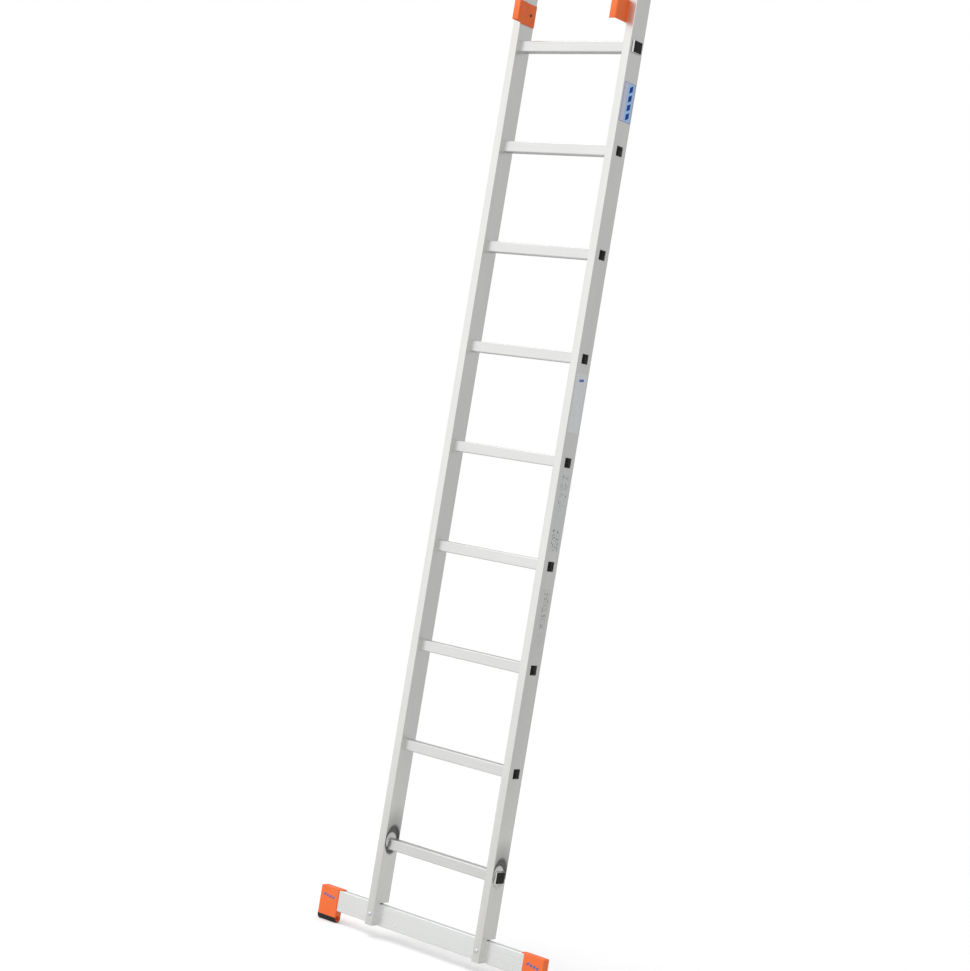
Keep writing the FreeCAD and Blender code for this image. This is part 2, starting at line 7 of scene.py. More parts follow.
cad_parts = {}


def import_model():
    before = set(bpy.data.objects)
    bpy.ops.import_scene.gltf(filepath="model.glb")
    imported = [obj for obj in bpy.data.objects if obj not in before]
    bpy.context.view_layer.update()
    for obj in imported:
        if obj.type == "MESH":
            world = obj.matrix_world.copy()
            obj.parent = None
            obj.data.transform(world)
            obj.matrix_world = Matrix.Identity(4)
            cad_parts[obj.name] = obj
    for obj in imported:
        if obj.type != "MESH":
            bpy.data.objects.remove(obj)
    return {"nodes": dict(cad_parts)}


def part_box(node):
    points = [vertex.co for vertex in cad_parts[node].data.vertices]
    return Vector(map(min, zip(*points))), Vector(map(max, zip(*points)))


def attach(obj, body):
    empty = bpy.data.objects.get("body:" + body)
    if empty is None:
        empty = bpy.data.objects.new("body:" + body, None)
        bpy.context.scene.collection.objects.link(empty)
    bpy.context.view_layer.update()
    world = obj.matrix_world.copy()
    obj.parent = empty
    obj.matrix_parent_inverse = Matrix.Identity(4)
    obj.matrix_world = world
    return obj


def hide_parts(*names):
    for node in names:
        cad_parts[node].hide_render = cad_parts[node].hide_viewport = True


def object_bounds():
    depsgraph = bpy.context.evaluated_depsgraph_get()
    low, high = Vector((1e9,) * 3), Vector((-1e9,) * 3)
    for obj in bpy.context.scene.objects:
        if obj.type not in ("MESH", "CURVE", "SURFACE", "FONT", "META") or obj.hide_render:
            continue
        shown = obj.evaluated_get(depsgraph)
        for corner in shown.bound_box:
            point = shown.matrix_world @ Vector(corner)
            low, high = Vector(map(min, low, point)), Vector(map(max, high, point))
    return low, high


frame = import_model()
cad_box = [list(corner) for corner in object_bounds()]
nodes = frame["nodes"]


def middle_height(name):
    """Height of the middle of a CAD node."""
    low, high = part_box(name)
    return (low.z + high.z) / 2


# ---- sizes, in metres
MM = 0.001
STILE_LOW, STILE_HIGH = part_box("base_stile_right")
INNER_X, OUTER_X = STILE_LOW.x, STILE_HIGH.x
FLANGE_Y, REAR_Y = STILE_LOW.y, STILE_HIGH.y
STILE_Y = (FLANGE_Y + REAR_Y) / 2
RUNG_TWO_Z = middle_height("base_rung_02")
RUNG_NINE_Z = middle_height("base_rung_09")
RUNG_PITCH = (RUNG_NINE_Z - RUNG_TWO_Z) / 7
RUNG_ONE_Z = RUNG_TWO_Z - RUNG_PITCH
TO_RIGHT = (1, 0, 0)
TO_BACK = (0, 1, 0)
# Sides of a rectangle's four corners, anticlockwise
CORNER_SIGNS = ((-1, -1), (1, -1), (1, 1), (-1, 1))


# ---- materials
EDGE_GAIN = 6.0


class Nodes:
    """Short way to build a node tree: every call adds one node and links its inputs."""

    def __init__(self, name):
        self.material = bpy.data.materials.new(name)
        self.material.use_nodes = True
        self.tree = self.material.node_tree
        self.shader = self.tree.nodes["Principled BSDF"]
        self.object_place = self.add("ShaderNodeTexCoord").outputs["Object"]

    def add(self, kind, inputs=None, **settings):
        """One node, with its settings and its inputs."""
        node = self.tree.nodes.new(kind)
        for key, value in settings.items():
            setattr(node, key, value)
        for key, value in (inputs or {}).items():
            self.feed(node.inputs[key], value)
        return node

    def feed(self, socket, value):
        """Link to a socket, or a fixed value in it."""
        if isinstance(value, bpy.types.NodeSocket):
            self.tree.links.new(value, socket)
        else:
            socket.default_value = value

    def stretched(self, scale):
        """Object coordinates scaled along each axis."""
        mapping = self.add("ShaderNodeMapping", {"Vector": self.object_place, "Scale": scale})
        return mapping.outputs["Vector"]

    def noise(self, scale, detail=4.0, roughness=0.55, vector=None):
        """Noise value between 0 and 1."""
        place = self.object_place if vector is None else vector
        inputs = {"Vector": place, "Scale": scale, "Detail": detail, "Roughness": roughness}
        return self.add("ShaderNodeTexNoise", inputs).outputs["Fac"]

    def ramp(self, value, stops):
        """Value turned into a colour or a level through a list of (place, colour)."""
        node = self.add("ShaderNodeValToRGB", {"Fac": value})
        elements = node.color_ramp.elements
        while len(elements) < len(stops):
            elements.new(0.5)
        for element, (place, colour) in zip(elements, stops):
            element.position = place
            element.color = grey(colour) if isinstance(colour, float) else (*colour, 1.0)
        return node.outputs["Color"]

    def mix(self, factor, first, second, blend="MIX"):
        """Two colours mixed."""
        node = self.add("ShaderNodeMix", data_type="RGBA", blend_type=blend)
        for index, value in ((0, factor), (6, first), (7, second)):
            self.feed(node.inputs[index], (*value, 1.0) if isinstance(value, tuple) else value)
        return node.outputs[2]

    def math(self, operation, first, second=0.0, clamp=False):
        """One step of arithmetic."""
        node = self.add("ShaderNodeMath", operation=operation, use_clamp=clamp)
        self.feed(node.inputs[0], first)
        self.feed(node.inputs[1], second)
        return node.outputs[0]

    def vector_math(self, operation, *values):
        """One step of vector arithmetic: a number for a length or a dot product, else a vector."""
        node = self.add("ShaderNodeVectorMath", dict(enumerate(values)), operation=operation)
        return node.outputs["Value" if operation in ("DOT_PRODUCT", "LENGTH") else "Vector"]

    def within(self, value, low, high):
        """1 where a value lies between two limits."""
        above = self.math("GREATER_THAN", value, low)
        return self.math("MULTIPLY", above, self.math("LESS_THAN", value, high))

    def cloudy(self, clouds, spread, base):
        """Level that starts at the base and rises with the clouds."""
        level = self.math("MULTIPLY_ADD", clouds, spread)
        level.node.inputs[2].default_value = base
        return level

    def axis(self, name):
        """One coordinate of the object, X, Y or Z, in metres."""
        return self.add("ShaderNodeSeparateXYZ", {"Vector": self.object_place}).outputs[name]

    def bump(self, height, strength, distance, normal=None):
        """Normal tilted by a height, on top of another normal if there is one."""
        inputs = {"Height": height, "Strength": strength, "Distance": distance}
        if normal is not None:
            inputs["Normal"] = normal
        return self.add("ShaderNodeBump", inputs).outputs["Normal"]

    def edges(self, radius=0.0012):
        """1 on sharp edges and 0 on flat faces, from a bevelled normal compared with the true one."""
        bevel = self.add("ShaderNodeBevel", {"Radius": radius}, samples=4).outputs["Normal"]
        normal = self.add("ShaderNodeNewGeometry").outputs["Normal"]
        turned_away = self.math("SUBTRACT", 1.0, self.vector_math("DOT_PRODUCT", bevel, normal))
        return self.math("MULTIPLY", turned_away, EDGE_GAIN, clamp=True)

    def finish(self, colour, roughness, normal=None, **sockets):
        """Main shader connected; other sockets are given by name, with _ for a space."""
        self.feed(self.shader.inputs["Base Color"], colour)
        self.feed(self.shader.inputs["Roughness"], roughness)
        if normal is not None:
            self.feed(self.shader.inputs["Normal"], normal)
        for name, value in sockets.items():
            self.shader.inputs[name.replace("_", " ")].default_value = value
        return self.material


def grey(level):
    """Opaque colour of one level."""
    return (level, level, level, 1.0)


def scaled(level, tint):
    """Tint multiplied by a level."""
    return tuple(level * part for part in tint)


def streaked(along, across_scale, along_scale):
    """Noise scale that is drawn out along one axis."""
    scale = [across_scale] * 3
    scale["XYZ".index(along)] = along_scale
    return scale


def aluminium(name, along, bright, dull, roughness, tint, shade=None):
    """Mill-finish extrusion: die lines along one axis, soft oxide clouds and small handling marks."""
    material = Nodes(name)
    fine = material.stretched(streaked(along, across_scale=420.0, along_scale=1.2))
    coarse = material.stretched(streaked(along, across_scale=9.0, along_scale=2.2))
    lines = material.noise(1.0, detail=3.0, roughness=0.6, vector=fine)
    clouds = material.noise(1.0, detail=5.0, roughness=0.6, vector=coarse)
    specks = material.noise(260.0, detail=2.0, roughness=0.5)
    tone = material.ramp(clouds, ((0.3, scaled(dull, tint)), (0.7, scaled(bright, tint))))
    tone = material.mix(0.12, tone, material.ramp(lines, ((0.3, 0.55), (0.7, 1.0))), "MULTIPLY")
    # An optional function paints shade into the tone
    if shade is not None:
        tone = shade(material, tone)
    rubbed = material.math("MULTIPLY", material.edges(), 0.35)
    tone = material.mix(rubbed, tone, (0.93, 0.93, 0.92))
    rough = material.cloudy(clouds, spread=0.14, base=roughness - 0.07)
    marks = material.ramp(specks, ((0.66, 0.0), (0.72, 1.0)))
    rough = material.math("ADD", rough, material.math("MULTIPLY", marks, 0.10))
    normal = material.bump(lines, strength=0.10, distance=0.0004)
    normal = material.bump(clouds, strength=0.05, distance=0.002, normal=normal)
    return material.finish(tone, rough, normal, Metallic=1.0)


# Painted shade round the lowest rung: darker over it on both webs and under it on the inner web.
# It is an oval about the middle of the dish in the web, taller than it is deep. Ramp places are
# tenths of a metre from that middle, levels are shares of the metal's.
DISH_RISE = 9.0 * MM
DISH_SHADE_TONE = 0.20
DISH_SHADE_OVAL = (0.0, 1.5, 1.0)
DISH_SHADE_PLACES_PER_METRE = 10.0
DISH_SHADE_OVER = ((0.0, DISH_SHADE_TONE), (0.40, DISH_SHADE_TONE), (0.48, 0.64), (1.0, 1.0))
DISH_SHADE_UNDER = ((0.0, DISH_SHADE_TONE), (0.36, DISH_SHADE_TONE), (0.42, 1.0))
DISH_SHADE_UNDER_OUTSIDE = (0.95, 0.95, 0.95)
DISH_SHADE_SPLIT = -14.0 * MM
WEB_FRONT = FLANGE_Y + 1.5 * MM
WEB_BACK = REAR_Y - 0.5 * MM
# Painted shade in a slot in front of the square frame round the ninth rung's cap
SLOT_FROM_MIDDLE = 19.6 * MM
SLOT_WIDTH = 2.0 * MM
SLOT_HALF_HEIGHT = 17.0 * MM
SLOT_SHADE_TONE = (0.10, 0.10, 0.10)


def dish_painted_shade(material, tone):
    """Painted shade over the lowest rung on both webs and under it on the inner, and in the dark slot."""
    centre = (0.0, STILE_Y, RUNG_ONE_Z + DISH_RISE)
    offset = material.vector_math("SUBTRACT", material.object_place, centre)
    oval = material.vector_math("MULTIPLY", offset, DISH_SHADE_OVAL)
    reach = material.math("MULTIPLY", material.vector_math("LENGTH", oval), DISH_SHADE_PLACES_PER_METRE)
    rise = material.add("ShaderNodeSeparateXYZ", {"Vector": oval}).outputs["Z"]
    over = material.ramp(reach, DISH_SHADE_OVER)
    under = material.ramp(reach, DISH_SHADE_UNDER)
    distance = material.math("ABSOLUTE", material.axis("X"))
    inner = material.math("LESS_THAN", distance, (INNER_X + OUTER_X) / 2)
    under = material.mix(inner, DISH_SHADE_UNDER_OUTSIDE, under)
    shade = material.mix(material.math("GREATER_THAN", rise, DISH_SHADE_SPLIT), under, over)
    web = material.within(material.axis("Y"), WEB_FRONT, WEB_BACK)
    # Painted shade: the web's tone is multiplied darker in the oval round the lowest rung
    tone = material.mix(web, tone, shade, "MULTIPLY")
    slot_y = STILE_Y - SLOT_FROM_MIDDLE
    slot = material.within(material.axis("Y"), slot_y - SLOT_WIDTH, slot_y)
    slot_low, slot_high = RUNG_NINE_Z - SLOT_HALF_HEIGHT, RUNG_NINE_Z + SLOT_HALF_HEIGHT
    slot = material.math("MULTIPLY", slot, material.within(material.axis("Z"), slot_low, slot_high))
    slot = material.math("MULTIPLY", slot, material.math("SUBTRACT", 1.0, inner))
    # Painted shade: the slot in the outer web is multiplied nearly black
    return material.mix(slot, tone, SLOT_SHADE_TONE, "MULTIPLY")


def zinc():
    """Bright zinc plating with a faint spangle."""
    material = Nodes("zinc_steel")
    crystals = material.add("ShaderNodeTexVoronoi", {"Vector": material.object_place, "Scale": 900.0})
    spangle = crystals.outputs["Distance"]
    clouds = material.noise(120.0, detail=4.0, roughness=0.6)
    tone = material.ramp(clouds, ((0.3, (0.62, 0.64, 0.66)), (0.7, (0.76, 0.77, 0.78))))
    tone = material.mix(0.15, tone, material.ramp(spangle, ((0.0, 0.7), (1.0, 1.0))), "MULTIPLY")
    rubbed = material.math("MULTIPLY", material.edges(0.0006), 0.4)
    tone = material.mix(rubbed, tone, (0.9, 0.9, 0.9))
    rough = material.cloudy(clouds, spread=0.16, base=0.22)
    return material.finish(tone, rough, material.bump(spangle, strength=0.05, distance=0.0002), Metallic=1.0)


def moulded(name, colour, shade, roughness, grain=900.0, specular=0.5):
    """Moulded plastic or rubber: fine spark grain, flow clouds and rubbed edges."""
    material = Nodes(name)
    clouds = material.noise(35.0, detail=4.0, roughness=0.55)
    fine = material.noise(grain, detail=2.0, roughness=0.5)
    tone = material.ramp(clouds, ((0.3, shade), (0.7, colour)))
    worn = tuple(min(1.0, 0.55 * part + 0.35) for part in colour)
    rubbed = material.math("MULTIPLY", material.edges(0.0008), 0.25)
    tone = material.mix(rubbed, tone, worn)
    rough = material.cloudy(clouds, spread=0.12, base=roughness)
    normal = material.bump(fine, strength=0.18, distance=0.0003)
    normal = material.bump(clouds, strength=0.06, distance=0.001, normal=normal)
    return material.finish(tone, rough, normal, Specular_IOR_Level=specular)


def printed(node, film, marks):
    """Silver film with plain print; marks are (low y, high y, low z, high z, lean, specks, colour)."""
    material = Nodes(node)
    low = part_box(node)[0]
    clouds = material.noise(60.0, detail=3.0, roughness=0.5)
    dots = material.stretched((1.0, 260.0, 150.0))
    specks = material.noise(1.0, detail=2.0, roughness=0.5, vector=dots)
    tone = material.ramp(clouds, ((0.3, scaled(0.95, film)), (0.7, film)))
    across = material.math("SUBTRACT", material.axis("Y"), low.y)
    height = material.math("SUBTRACT", material.axis("Z"), low.z)
    for y_low, y_high, z_low, z_high, lean, speckled, colour in marks:
        up = material.math("SUBTRACT", height, material.math("MULTIPLY", across, lean))
        columns = material.within(across, y_low, y_high)
        mask = material.math("MULTIPLY", columns, material.within(up, z_low, z_high))
        if speckled:
            scatter = material.ramp(specks, ((speckled, 0.0), (speckled + 0.05, 1.0)))
            mask = material.math("MULTIPLY", mask, scatter)
        tone = material.mix(mask, tone, colour)
    rough = material.cloudy(clouds, spread=0.10, base=0.30)
    return material.finish(tone, rough, material.bump(clouds, strength=0.05, distance=0.0004), Metallic=0.8)


# The stile's aluminium carries painted shade round the lowest rung and in the slot by rung 9
ALUMINIUM_STILE = aluminium("stile_aluminium", "Z", bright=0.80, dull=0.75, roughness=0.30,
                            tint=(1.0, 0.997, 0.975), shade=dish_painted_shade)
ALUMINIUM_RUNG = aluminium("rung_aluminium", "X", bright=0.78, dull=0.73, roughness=0.36,
                           tint=(1.0, 1.0, 0.985))
ALUMINIUM_BAR = aluminium("bar_aluminium", "X", bright=0.97, dull=0.93, roughness=0.28,
                          tint=(0.985, 1.0, 0.995))
ZINC = zinc()
ORANGE = moulded("orange_plastic", (0.98, 0.185, 0.040), (0.93, 0.165, 0.034),
                 roughness=0.40, specular=0.36)
RUBBER = moulded("black_rubber", (0.022, 0.022, 0.022), (0.014, 0.014, 0.014),
                 roughness=0.62, grain=500.0, specular=0.35)
BLACK = moulded("black_plastic", (0.013, 0.012, 0.012), (0.008, 0.008, 0.008),
                roughness=0.45, specular=0.22)
DARK_STEEL = moulded("dark_steel", (0.050, 0.045, 0.042), (0.030, 0.028, 0.028),
                     roughness=0.30, grain=1200.0)
BLUE = moulded("badge_blue", (0.13, 0.15, 0.42), (0.11, 0.13, 0.38), roughness=0.40)


# ---- mesh kit
WELD_DISTANCE = 1e-6
SHARP_ANGLE = math.radians(32)
SIDES = ("right", "left")
ON_BASE = ("base_section", "base_section")
ON_FLY = ("fly_section", "fly_section")
ON_LOCKS = ("lock_right", "lock_left")


def rounded(corners, steps=6):
    """Anticlockwise outline whose corners, given as (u, v, radius), are turned into arcs."""
    area = sum(a[0] * b[1] - b[0] * a[1] for a, b in zip(corners, corners[1:] + corners[:1]))
    if area < 0:
        corners = corners[::-1]
    outline = []
    for index, (u, v, radius) in enumerate(corners):
        here = Vector((u, v))
        before = (Vector(corners[index - 1][:2]) - here).normalized()
        after = (Vector(corners[(index + 1) % len(corners)][:2]) - here).normalized()
        if radius == 0.0:
            outline.append(here)
            continue
        half = before.angle(after) / 2
        centre = here + (before + after).normalized() * radius / math.sin(half)
        first = here + before * radius / math.tan(half) - centre
        last = here + after * radius / math.tan(half) - centre
        turn = math.atan2(first.x * last.y - first.y * last.x, first.dot(last))
        for step in range(steps + 1):
            angle = math.atan2(first.y, first.x) + turn * step / steps
            outline.append(centre + radius * Vector((math.cos(angle), math.sin(angle))))
    return outline


def rectangle(half_u, half_v, radius, steps=6, centre=(0.0, 0.0)):
    """Rounded rectangle about a centre."""
    corners = [(centre[0] + i * half_u, centre[1] + j * half_v, radius) for i, j in CORNER_SIGNS]
    return rounded(corners, steps)


def inset(outline, distance):
    """Anticlockwise outline moved inwards."""
    moved = []
    for before, here, after in zip(outline[-1:] + outline[:-1], outline, outline[1:] + outline[:1]):
        first = (here - before).normalized()
        second = (after - here).normalized()
        normal = Vector((-first.y - second.y, first.x + second.x)).normalized()
        moved.append(here + normal * distance / max(0.4, normal.dot(Vector((-first.y, first.x)))))
    return moved


def loft(rings, closed=False):
    """Skin through rings with equally many points; it ends in two flat faces or closes on itself."""
    solid = bmesh.new()
    rows = [[solid.verts.new(point) for point in ring] for ring in rings]
    next_rows = rows[1:] + rows[:1] if closed else rows[1:]
    for row, next_row in zip(rows, next_rows):
        for index in range(len(row)):
            after = (index + 1) % len(row)
            solid.faces.new((row[index], row[after], next_row[after], next_row[index]))
    if not closed:
        solid.faces.new(rows[0])
        solid.faces.new(rows[-1])
    bmesh.ops.recalc_face_normals(solid, faces=solid.faces)
    return solid


def along_z(u, v, height):
    """Outline in X and Y pushed along Z."""
    return Vector((u, v, height))


def along_x(u, v, height):
    """Outline in Y and Z pushed along X."""
    return Vector((height, u, v))


def along_y(u, v, height):
    """Outline in X and Z pushed along Y."""
    return Vector((u, height, v))


def extruded(outline, place, start, end, edge=0.8 * MM, steps=3):
    """Outline pushed from start to end, with its two end edges rounded."""
    levels = []
    for step in range(steps + 1):
        angle = math.pi / 2 * step / steps
        levels.append((edge * (1 - math.sin(angle)), edge * (1 - math.cos(angle))))
    rings = []
    for drawn_in, rise in levels:
        rings.append([place(u, v, start + rise) for u, v in inset(outline, drawn_in)])
    for drawn_in, rise in reversed(levels):
        rings.append([place(u, v, end - rise) for u, v in inset(outline, drawn_in)])
    return loft(rings)


def circle(middle, side, other, radius, segments):
    """Points round a middle, in the plane of two directions."""
    points = []
    for index in range(segments):
        turn = 2 * math.pi * index / segments
        points.append(middle + radius * (math.cos(turn) * side + math.sin(turn) * other))
    return points


def lathe_axes(direction):
    """Unit vector along the lathe and two across it."""
    along = Vector(direction).normalized()
    side = along.orthogonal().normalized()
    return along, side, along.cross(side)


def turned(profile, centre, direction, segments=32):
    """Lathe shape from (radius, distance along direction), closed at both ends."""
    along, side, other = lathe_axes(direction)
    rings = []
    for radius, distance in profile:
        rings.append(circle(Vector(centre) + along * distance, side, other, radius, segments))
    return loft(rings)


def turned_ring(profile, centre, direction, segments):
    """Lathe ring whose profile closes on itself round a hole."""
    along, side, other = lathe_axes(direction)
    rings = []
    for index in range(segments):
        turn = 2 * math.pi * index / segments
        outward = math.cos(turn) * side + math.sin(turn) * other
        rings.append([Vector(centre) + along * d + outward * r for r, d in profile])
    return loft(rings, closed=True)


def dome(radius, height, base=0.0, steps=6, flat=0.12):
    """Lathe profile of a shallow dome, from its rim to a small flat at the top."""
    points = []
    top = math.sin(math.pi / 2 * (1 - flat))
    for step in range(steps + 1):
        angle = math.pi / 2 * step / steps * (1 - flat)
        points.append((radius * math.cos(angle), base + height * math.sin(angle) / top))
    return points


def raised(points):
    """Dome profile turned to stand up against the lathe's direction."""
    return [(radius, -rise) for radius, rise in points]


def swept(path, radius, segments=10):
    """Round wire along a path of points."""
    rings = []
    side = (path[1] - path[0]).orthogonal().normalized()
    for before, here, after in zip(path[:1] + path[:-1], path, path[1:] + path[-1:]):
        along = (after - before).normalized()
        side = (side - along * side.dot(along)).normalized()
        rings.append(circle(here, side, along.cross(side), radius, segments))
    return loft(rings)


def joined(parts):
    """One mesh from several separate solids."""
    whole = bmesh.new()
    for part in parts:
        mesh = bpy.data.meshes.new("part")
        part.to_mesh(mesh)
        part.free()
        whole.from_mesh(mesh)
        bpy.data.meshes.remove(mesh)
    return whole


def combined(solid, tool, operation="DIFFERENCE"):
    """Solid with a tool cut out of it, or added to it."""
    items = []
    for name, part in (("solid", solid), ("tool", tool)):
        mesh = bpy.data.meshes.new(name)
        part.to_mesh(mesh)
        part.free()
        item = bpy.data.objects.new(name, mesh)
        bpy.context.scene.collection.objects.link(item)
        items.append(item)
    modifier = items[0].modifiers.new("boolean", "BOOLEAN")
    modifier.operation = operation
    modifier.solver = "EXACT"
    modifier.object = items[1]
    evaluated = items[0].evaluated_get(bpy.context.evaluated_depsgraph_get())
    result = bpy.data.meshes.new_from_object(evaluated)
    whole = bmesh.new()
    whole.from_mesh(result)
    bmesh.ops.remove_doubles(whole, verts=whole.verts, dist=WELD_DISTANCE)
    bpy.data.meshes.remove(result)
    for item in items:
        mesh = item.data
        bpy.data.objects.remove(item)
        bpy.data.meshes.remove(mesh)
    return whole


def mirrored(solid):
    """The same solid on the other side of the ladder."""
    for vertex in solid.verts:
        vertex.co.x = -vertex.co.x
    bmesh.ops.reverse_faces(solid, faces=solid.faces)
    return solid


def both(build):
    """A right-hand solid and its mirror image."""
    return [build(), mirrored(build())]


def piece(name, solid, material, body, replaced=()):
    """Finished mesh as an object that rides on a body."""
    mesh = bpy.data.meshes.new(name)
    solid.to_mesh(mesh)
    solid.free()
    mesh.materials.append(material)
    mesh.shade_smooth()
    mesh.set_sharp_from_angle(angle=SHARP_ANGLE)
    item = bpy.data.objects.new(name, mesh)
    bpy.context.scene.collection.objects.link(item)
    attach(item, body)
    if replaced:
        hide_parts(*replaced)


def pair(name, ending, build, material, bodies=ON_BASE):
    """Right-hand piece and its mirror image, each replacing the CAD node of its side."""
    for side, body, solid in zip(SIDES, bodies, both(build)):
        node = "%s_%s" % (name, side)
        piece("%s_%s" % (node, ending), solid, material, body, (node,))


# ---- stabiliser ends
CAP_LOW, CAP_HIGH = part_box("stabiliser_cap_right")
SOLE_LOW, SOLE_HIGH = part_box("stabiliser_sole_right")
BAR_LOW, BAR_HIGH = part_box("stabiliser_bar")
BAR_Y = (BAR_LOW.y + BAR_HIGH.y) / 2
CAP_HALF = (CAP_HIGH.y - CAP_LOW.y) / 2
SOLE_WALL = 3.5 * MM
CORE_HALF = CAP_HALF - SOLE_WALL
TREAD_FLAT = 0.6 * MM
ROUND_Z = CAP_HALF - TREAD_FLAT
CAP_START_X = SOLE_LOW.x
CAP_EDGE = 1.8 * MM
CAP_TOP_ROUND = 5.0 * MM
START_EDGE = 0.5 * MM
SOCKET_GAP = 0.1 * MM
RECESS_RADIUS = CORE_HALF - 1.2 * MM
RECESS_DEPTH = 14.0 * MM
RECESS_PIN = 1.3 * MM


def arc_inset(distance, radius):
    """How far a rounded edge has drawn in at a distance from its end face."""
    if distance >= radius:
        return 0.0
    return radius - math.sqrt(radius ** 2 - (radius - distance) ** 2)


def stations_to_end(start, end, radii, steps=5):
    """Places along X: the start and then closer and closer to a rounded end."""
    places = {start, start + START_EDGE}
    for radius in radii:
        for step in range(steps + 1):
            places.add(end - radius * (1 - math.sin(math.pi / 2 * step / steps)))
    return sorted(places)


def cap_moulding():
    """Right-hand end cap: socket for the bar, rounded end, tongue on the bar, recess in its core."""
    rings = []
    for x in stations_to_end(CAP_START_X, CAP_HIGH.x, (CAP_EDGE, CAP_TOP_ROUND)):
        start = arc_inset(x - CAP_START_X, START_EDGE)
        side = arc_inset(CAP_HIGH.x - x, CAP_EDGE) + start
        top = CAP_HIGH.z - arc_inset(CAP_HIGH.x - x, CAP_TOP_ROUND) - start
        half, core = CAP_HALF - side, CORE_HALF - side
        low, shelf = ROUND_Z - core, SOLE_HIGH.z
        right = [(core, low, core - 0.1 * MM), (core, shelf, 0.3 * MM)]
        right += [(half, shelf, 0.6 * MM), (half, top, 1.8 * MM)]
        left = [(-u, v, radius) for u, v, radius in reversed(right)]
        rings.append([Vector((x, BAR_Y + u, v)) for u, v in rounded(right + left, 7)])
    body = loft(rings)
    over_bar = rectangle(CAP_HALF - 2.0 * MM, (CAP_HIGH.z - BAR_HIGH.z) / 2, 0.5 * MM,
                         centre=(BAR_Y, (CAP_HIGH.z + BAR_HIGH.z) / 2))
    tongue = extruded(over_bar, along_x, CAP_LOW.x, CAP_START_X + 8 * MM, 0.4 * MM)
    body = combined(body, tongue, "UNION")
    round_bar = rectangle(BAR_HIGH.y - BAR_Y + SOCKET_GAP, (BAR_HIGH.z - BAR_LOW.z) / 2 + SOCKET_GAP,
                          2.4 * MM, centre=(BAR_Y, (BAR_HIGH.z + BAR_LOW.z) / 2))
    socket = extruded(round_bar, along_x, CAP_START_X - 30 * MM, BAR_HIGH.x + SOCKET_GAP, 0.2 * MM)
    body = combined(body, socket)
    mouth = (CAP_START_X, BAR_Y, ROUND_Z)
    recess = [(RECESS_RADIUS + 0.6 * MM, -1 * MM), (RECESS_RADIUS + 0.6 * MM, 0.0)]
    recess += [(RECESS_RADIUS, 0.7 * MM), (RECESS_RADIUS - 0.4 * MM, RECESS_DEPTH - 1.0 * MM)]
    recess += [(RECESS_RADIUS - 1.4 * MM, RECESS_DEPTH)]
    body = combined(body, turned(recess, mouth, TO_RIGHT, 40))
    pin = [(RECESS_PIN, RECESS_DEPTH + 1.0 * MM)]
    pin += [(radius, 9.0 * MM - rise) for radius, rise in dome(RECESS_PIN, 0.8 * MM)]
    return combined(body, turned(pin, mouth, TO_RIGHT, 16), "UNION")


def sole_moulding(rib_pitch=5.0 * MM, groove=1.6 * MM, depth=0.9 * MM, lead=0.35 * MM, plain=3.0 * MM):
    """Right-hand rubber sole: a sleeve round the cap's half-round bottom, with ribs across the tread."""
    places = set(stations_to_end(SOLE_LOW.x, SOLE_HIGH.x, (CAP_EDGE,)))
    cuts = []
    cut = SOLE_LOW.x + plain
    while cut + groove < SOLE_HIGH.x - plain:
        cuts.append(cut)
        places.update((cut, cut + lead, cut + groove - lead, cut + groove))
        cut += rib_pitch
    rings = []
    outer_steps, inner_steps = 28, 20
    lip = 0.3 * MM
    inner = CORE_HALF + 0.05 * MM
    for x in sorted(places):
        in_groove = any(cut + lead / 2 < x < cut + groove - lead / 2 for cut in cuts)
        start = arc_inset(x - SOLE_LOW.x, START_EDGE)
        side = arc_inset(SOLE_HIGH.x - x, CAP_EDGE) + start
        outer = CAP_HALF - side
        top = SOLE_HIGH.z - start
        ring = [(-outer, top - lip)]
        for step in range(outer_steps + 1):
            angle = math.pi + math.pi * step / outer_steps
            low = max(0.0, min(1.0, -math.sin(angle) * 1.6 - 0.5))
            radius = outer - (depth * low if in_groove else 0.0)
            floor_z = side + (depth if in_groove else 0.0)
            ring.append((radius * math.cos(angle), max(floor_z, ROUND_Z + radius * math.sin(angle))))
        ring += [(outer, top - lip), (outer - lip, top), (inner, top)]
        for step in range(inner_steps + 1):
            angle = 2 * math.pi - math.pi * step / inner_steps
            ring.append((inner * math.cos(angle), ROUND_Z + inner * math.sin(angle)))
        ring += [(-inner, top), (-outer + lip, top)]
        rings.append([Vector((x, BAR_Y + u, v)) for u, v in ring])
    return loft(rings)


def badge_marks(length=43.0 * MM, height=8.5 * MM, bars=4, lean=0.5, tilt=math.radians(8)):
    """Plain slanted bars, printed on the front of both caps in place of a name."""
    low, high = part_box("cap_badges")
    middle_x = CAP_START_X + (CAP_HIGH.x - CAP_START_X) / 2
    middle_z = (low.z + high.z) / 2
    half_u = length / bars * 0.34
    marks = []
    for sign in (-1, 1):
        shift = Vector((sign * middle_x, middle_z))
        for index in range(bars):
            centre = (index - (bars - 1) / 2) * length / bars
            half_v = height / 2 * (1.0 - 0.12 * (index % 2))
            corners = []
            for i, j in CORNER_SIGNS:
                corners.append((centre + i * half_u + j * half_v * lean, j * half_v, 0.7 * MM))
            outline = []
            for u, v in rounded(corners, 4):
                across = u * math.cos(tilt) + v * math.sin(tilt)
                up = v * math.cos(tilt) - u * math.sin(tilt)
                outline.append(Vector((across, up)) + shift)
            marks.append(extruded(outline, along_y, low.y, high.y, 0.1 * MM, 2))
    return joined(marks)


def bolt_head(place, height, radius=6.5 * MM, shank=4.0 * MM, brim=0.3 * MM, socket=2.3 * MM):
    """Button head with a hexagon socket, and the shank through the stile."""
    profile = [(shank, 20.0 * MM), (shank, 0.0), (radius - 0.2 * MM, 0.0), (radius, -brim)]
    profile += [(r, -brim - rise) for r, rise in dome(radius, height - brim)]
    key_hole = [(socket, -height - 1 * MM), (socket, -height + 1.6 * MM)]
    return combined(turned(profile, place, TO_BACK, 40), turned(key_hole, place, TO_BACK, 6))


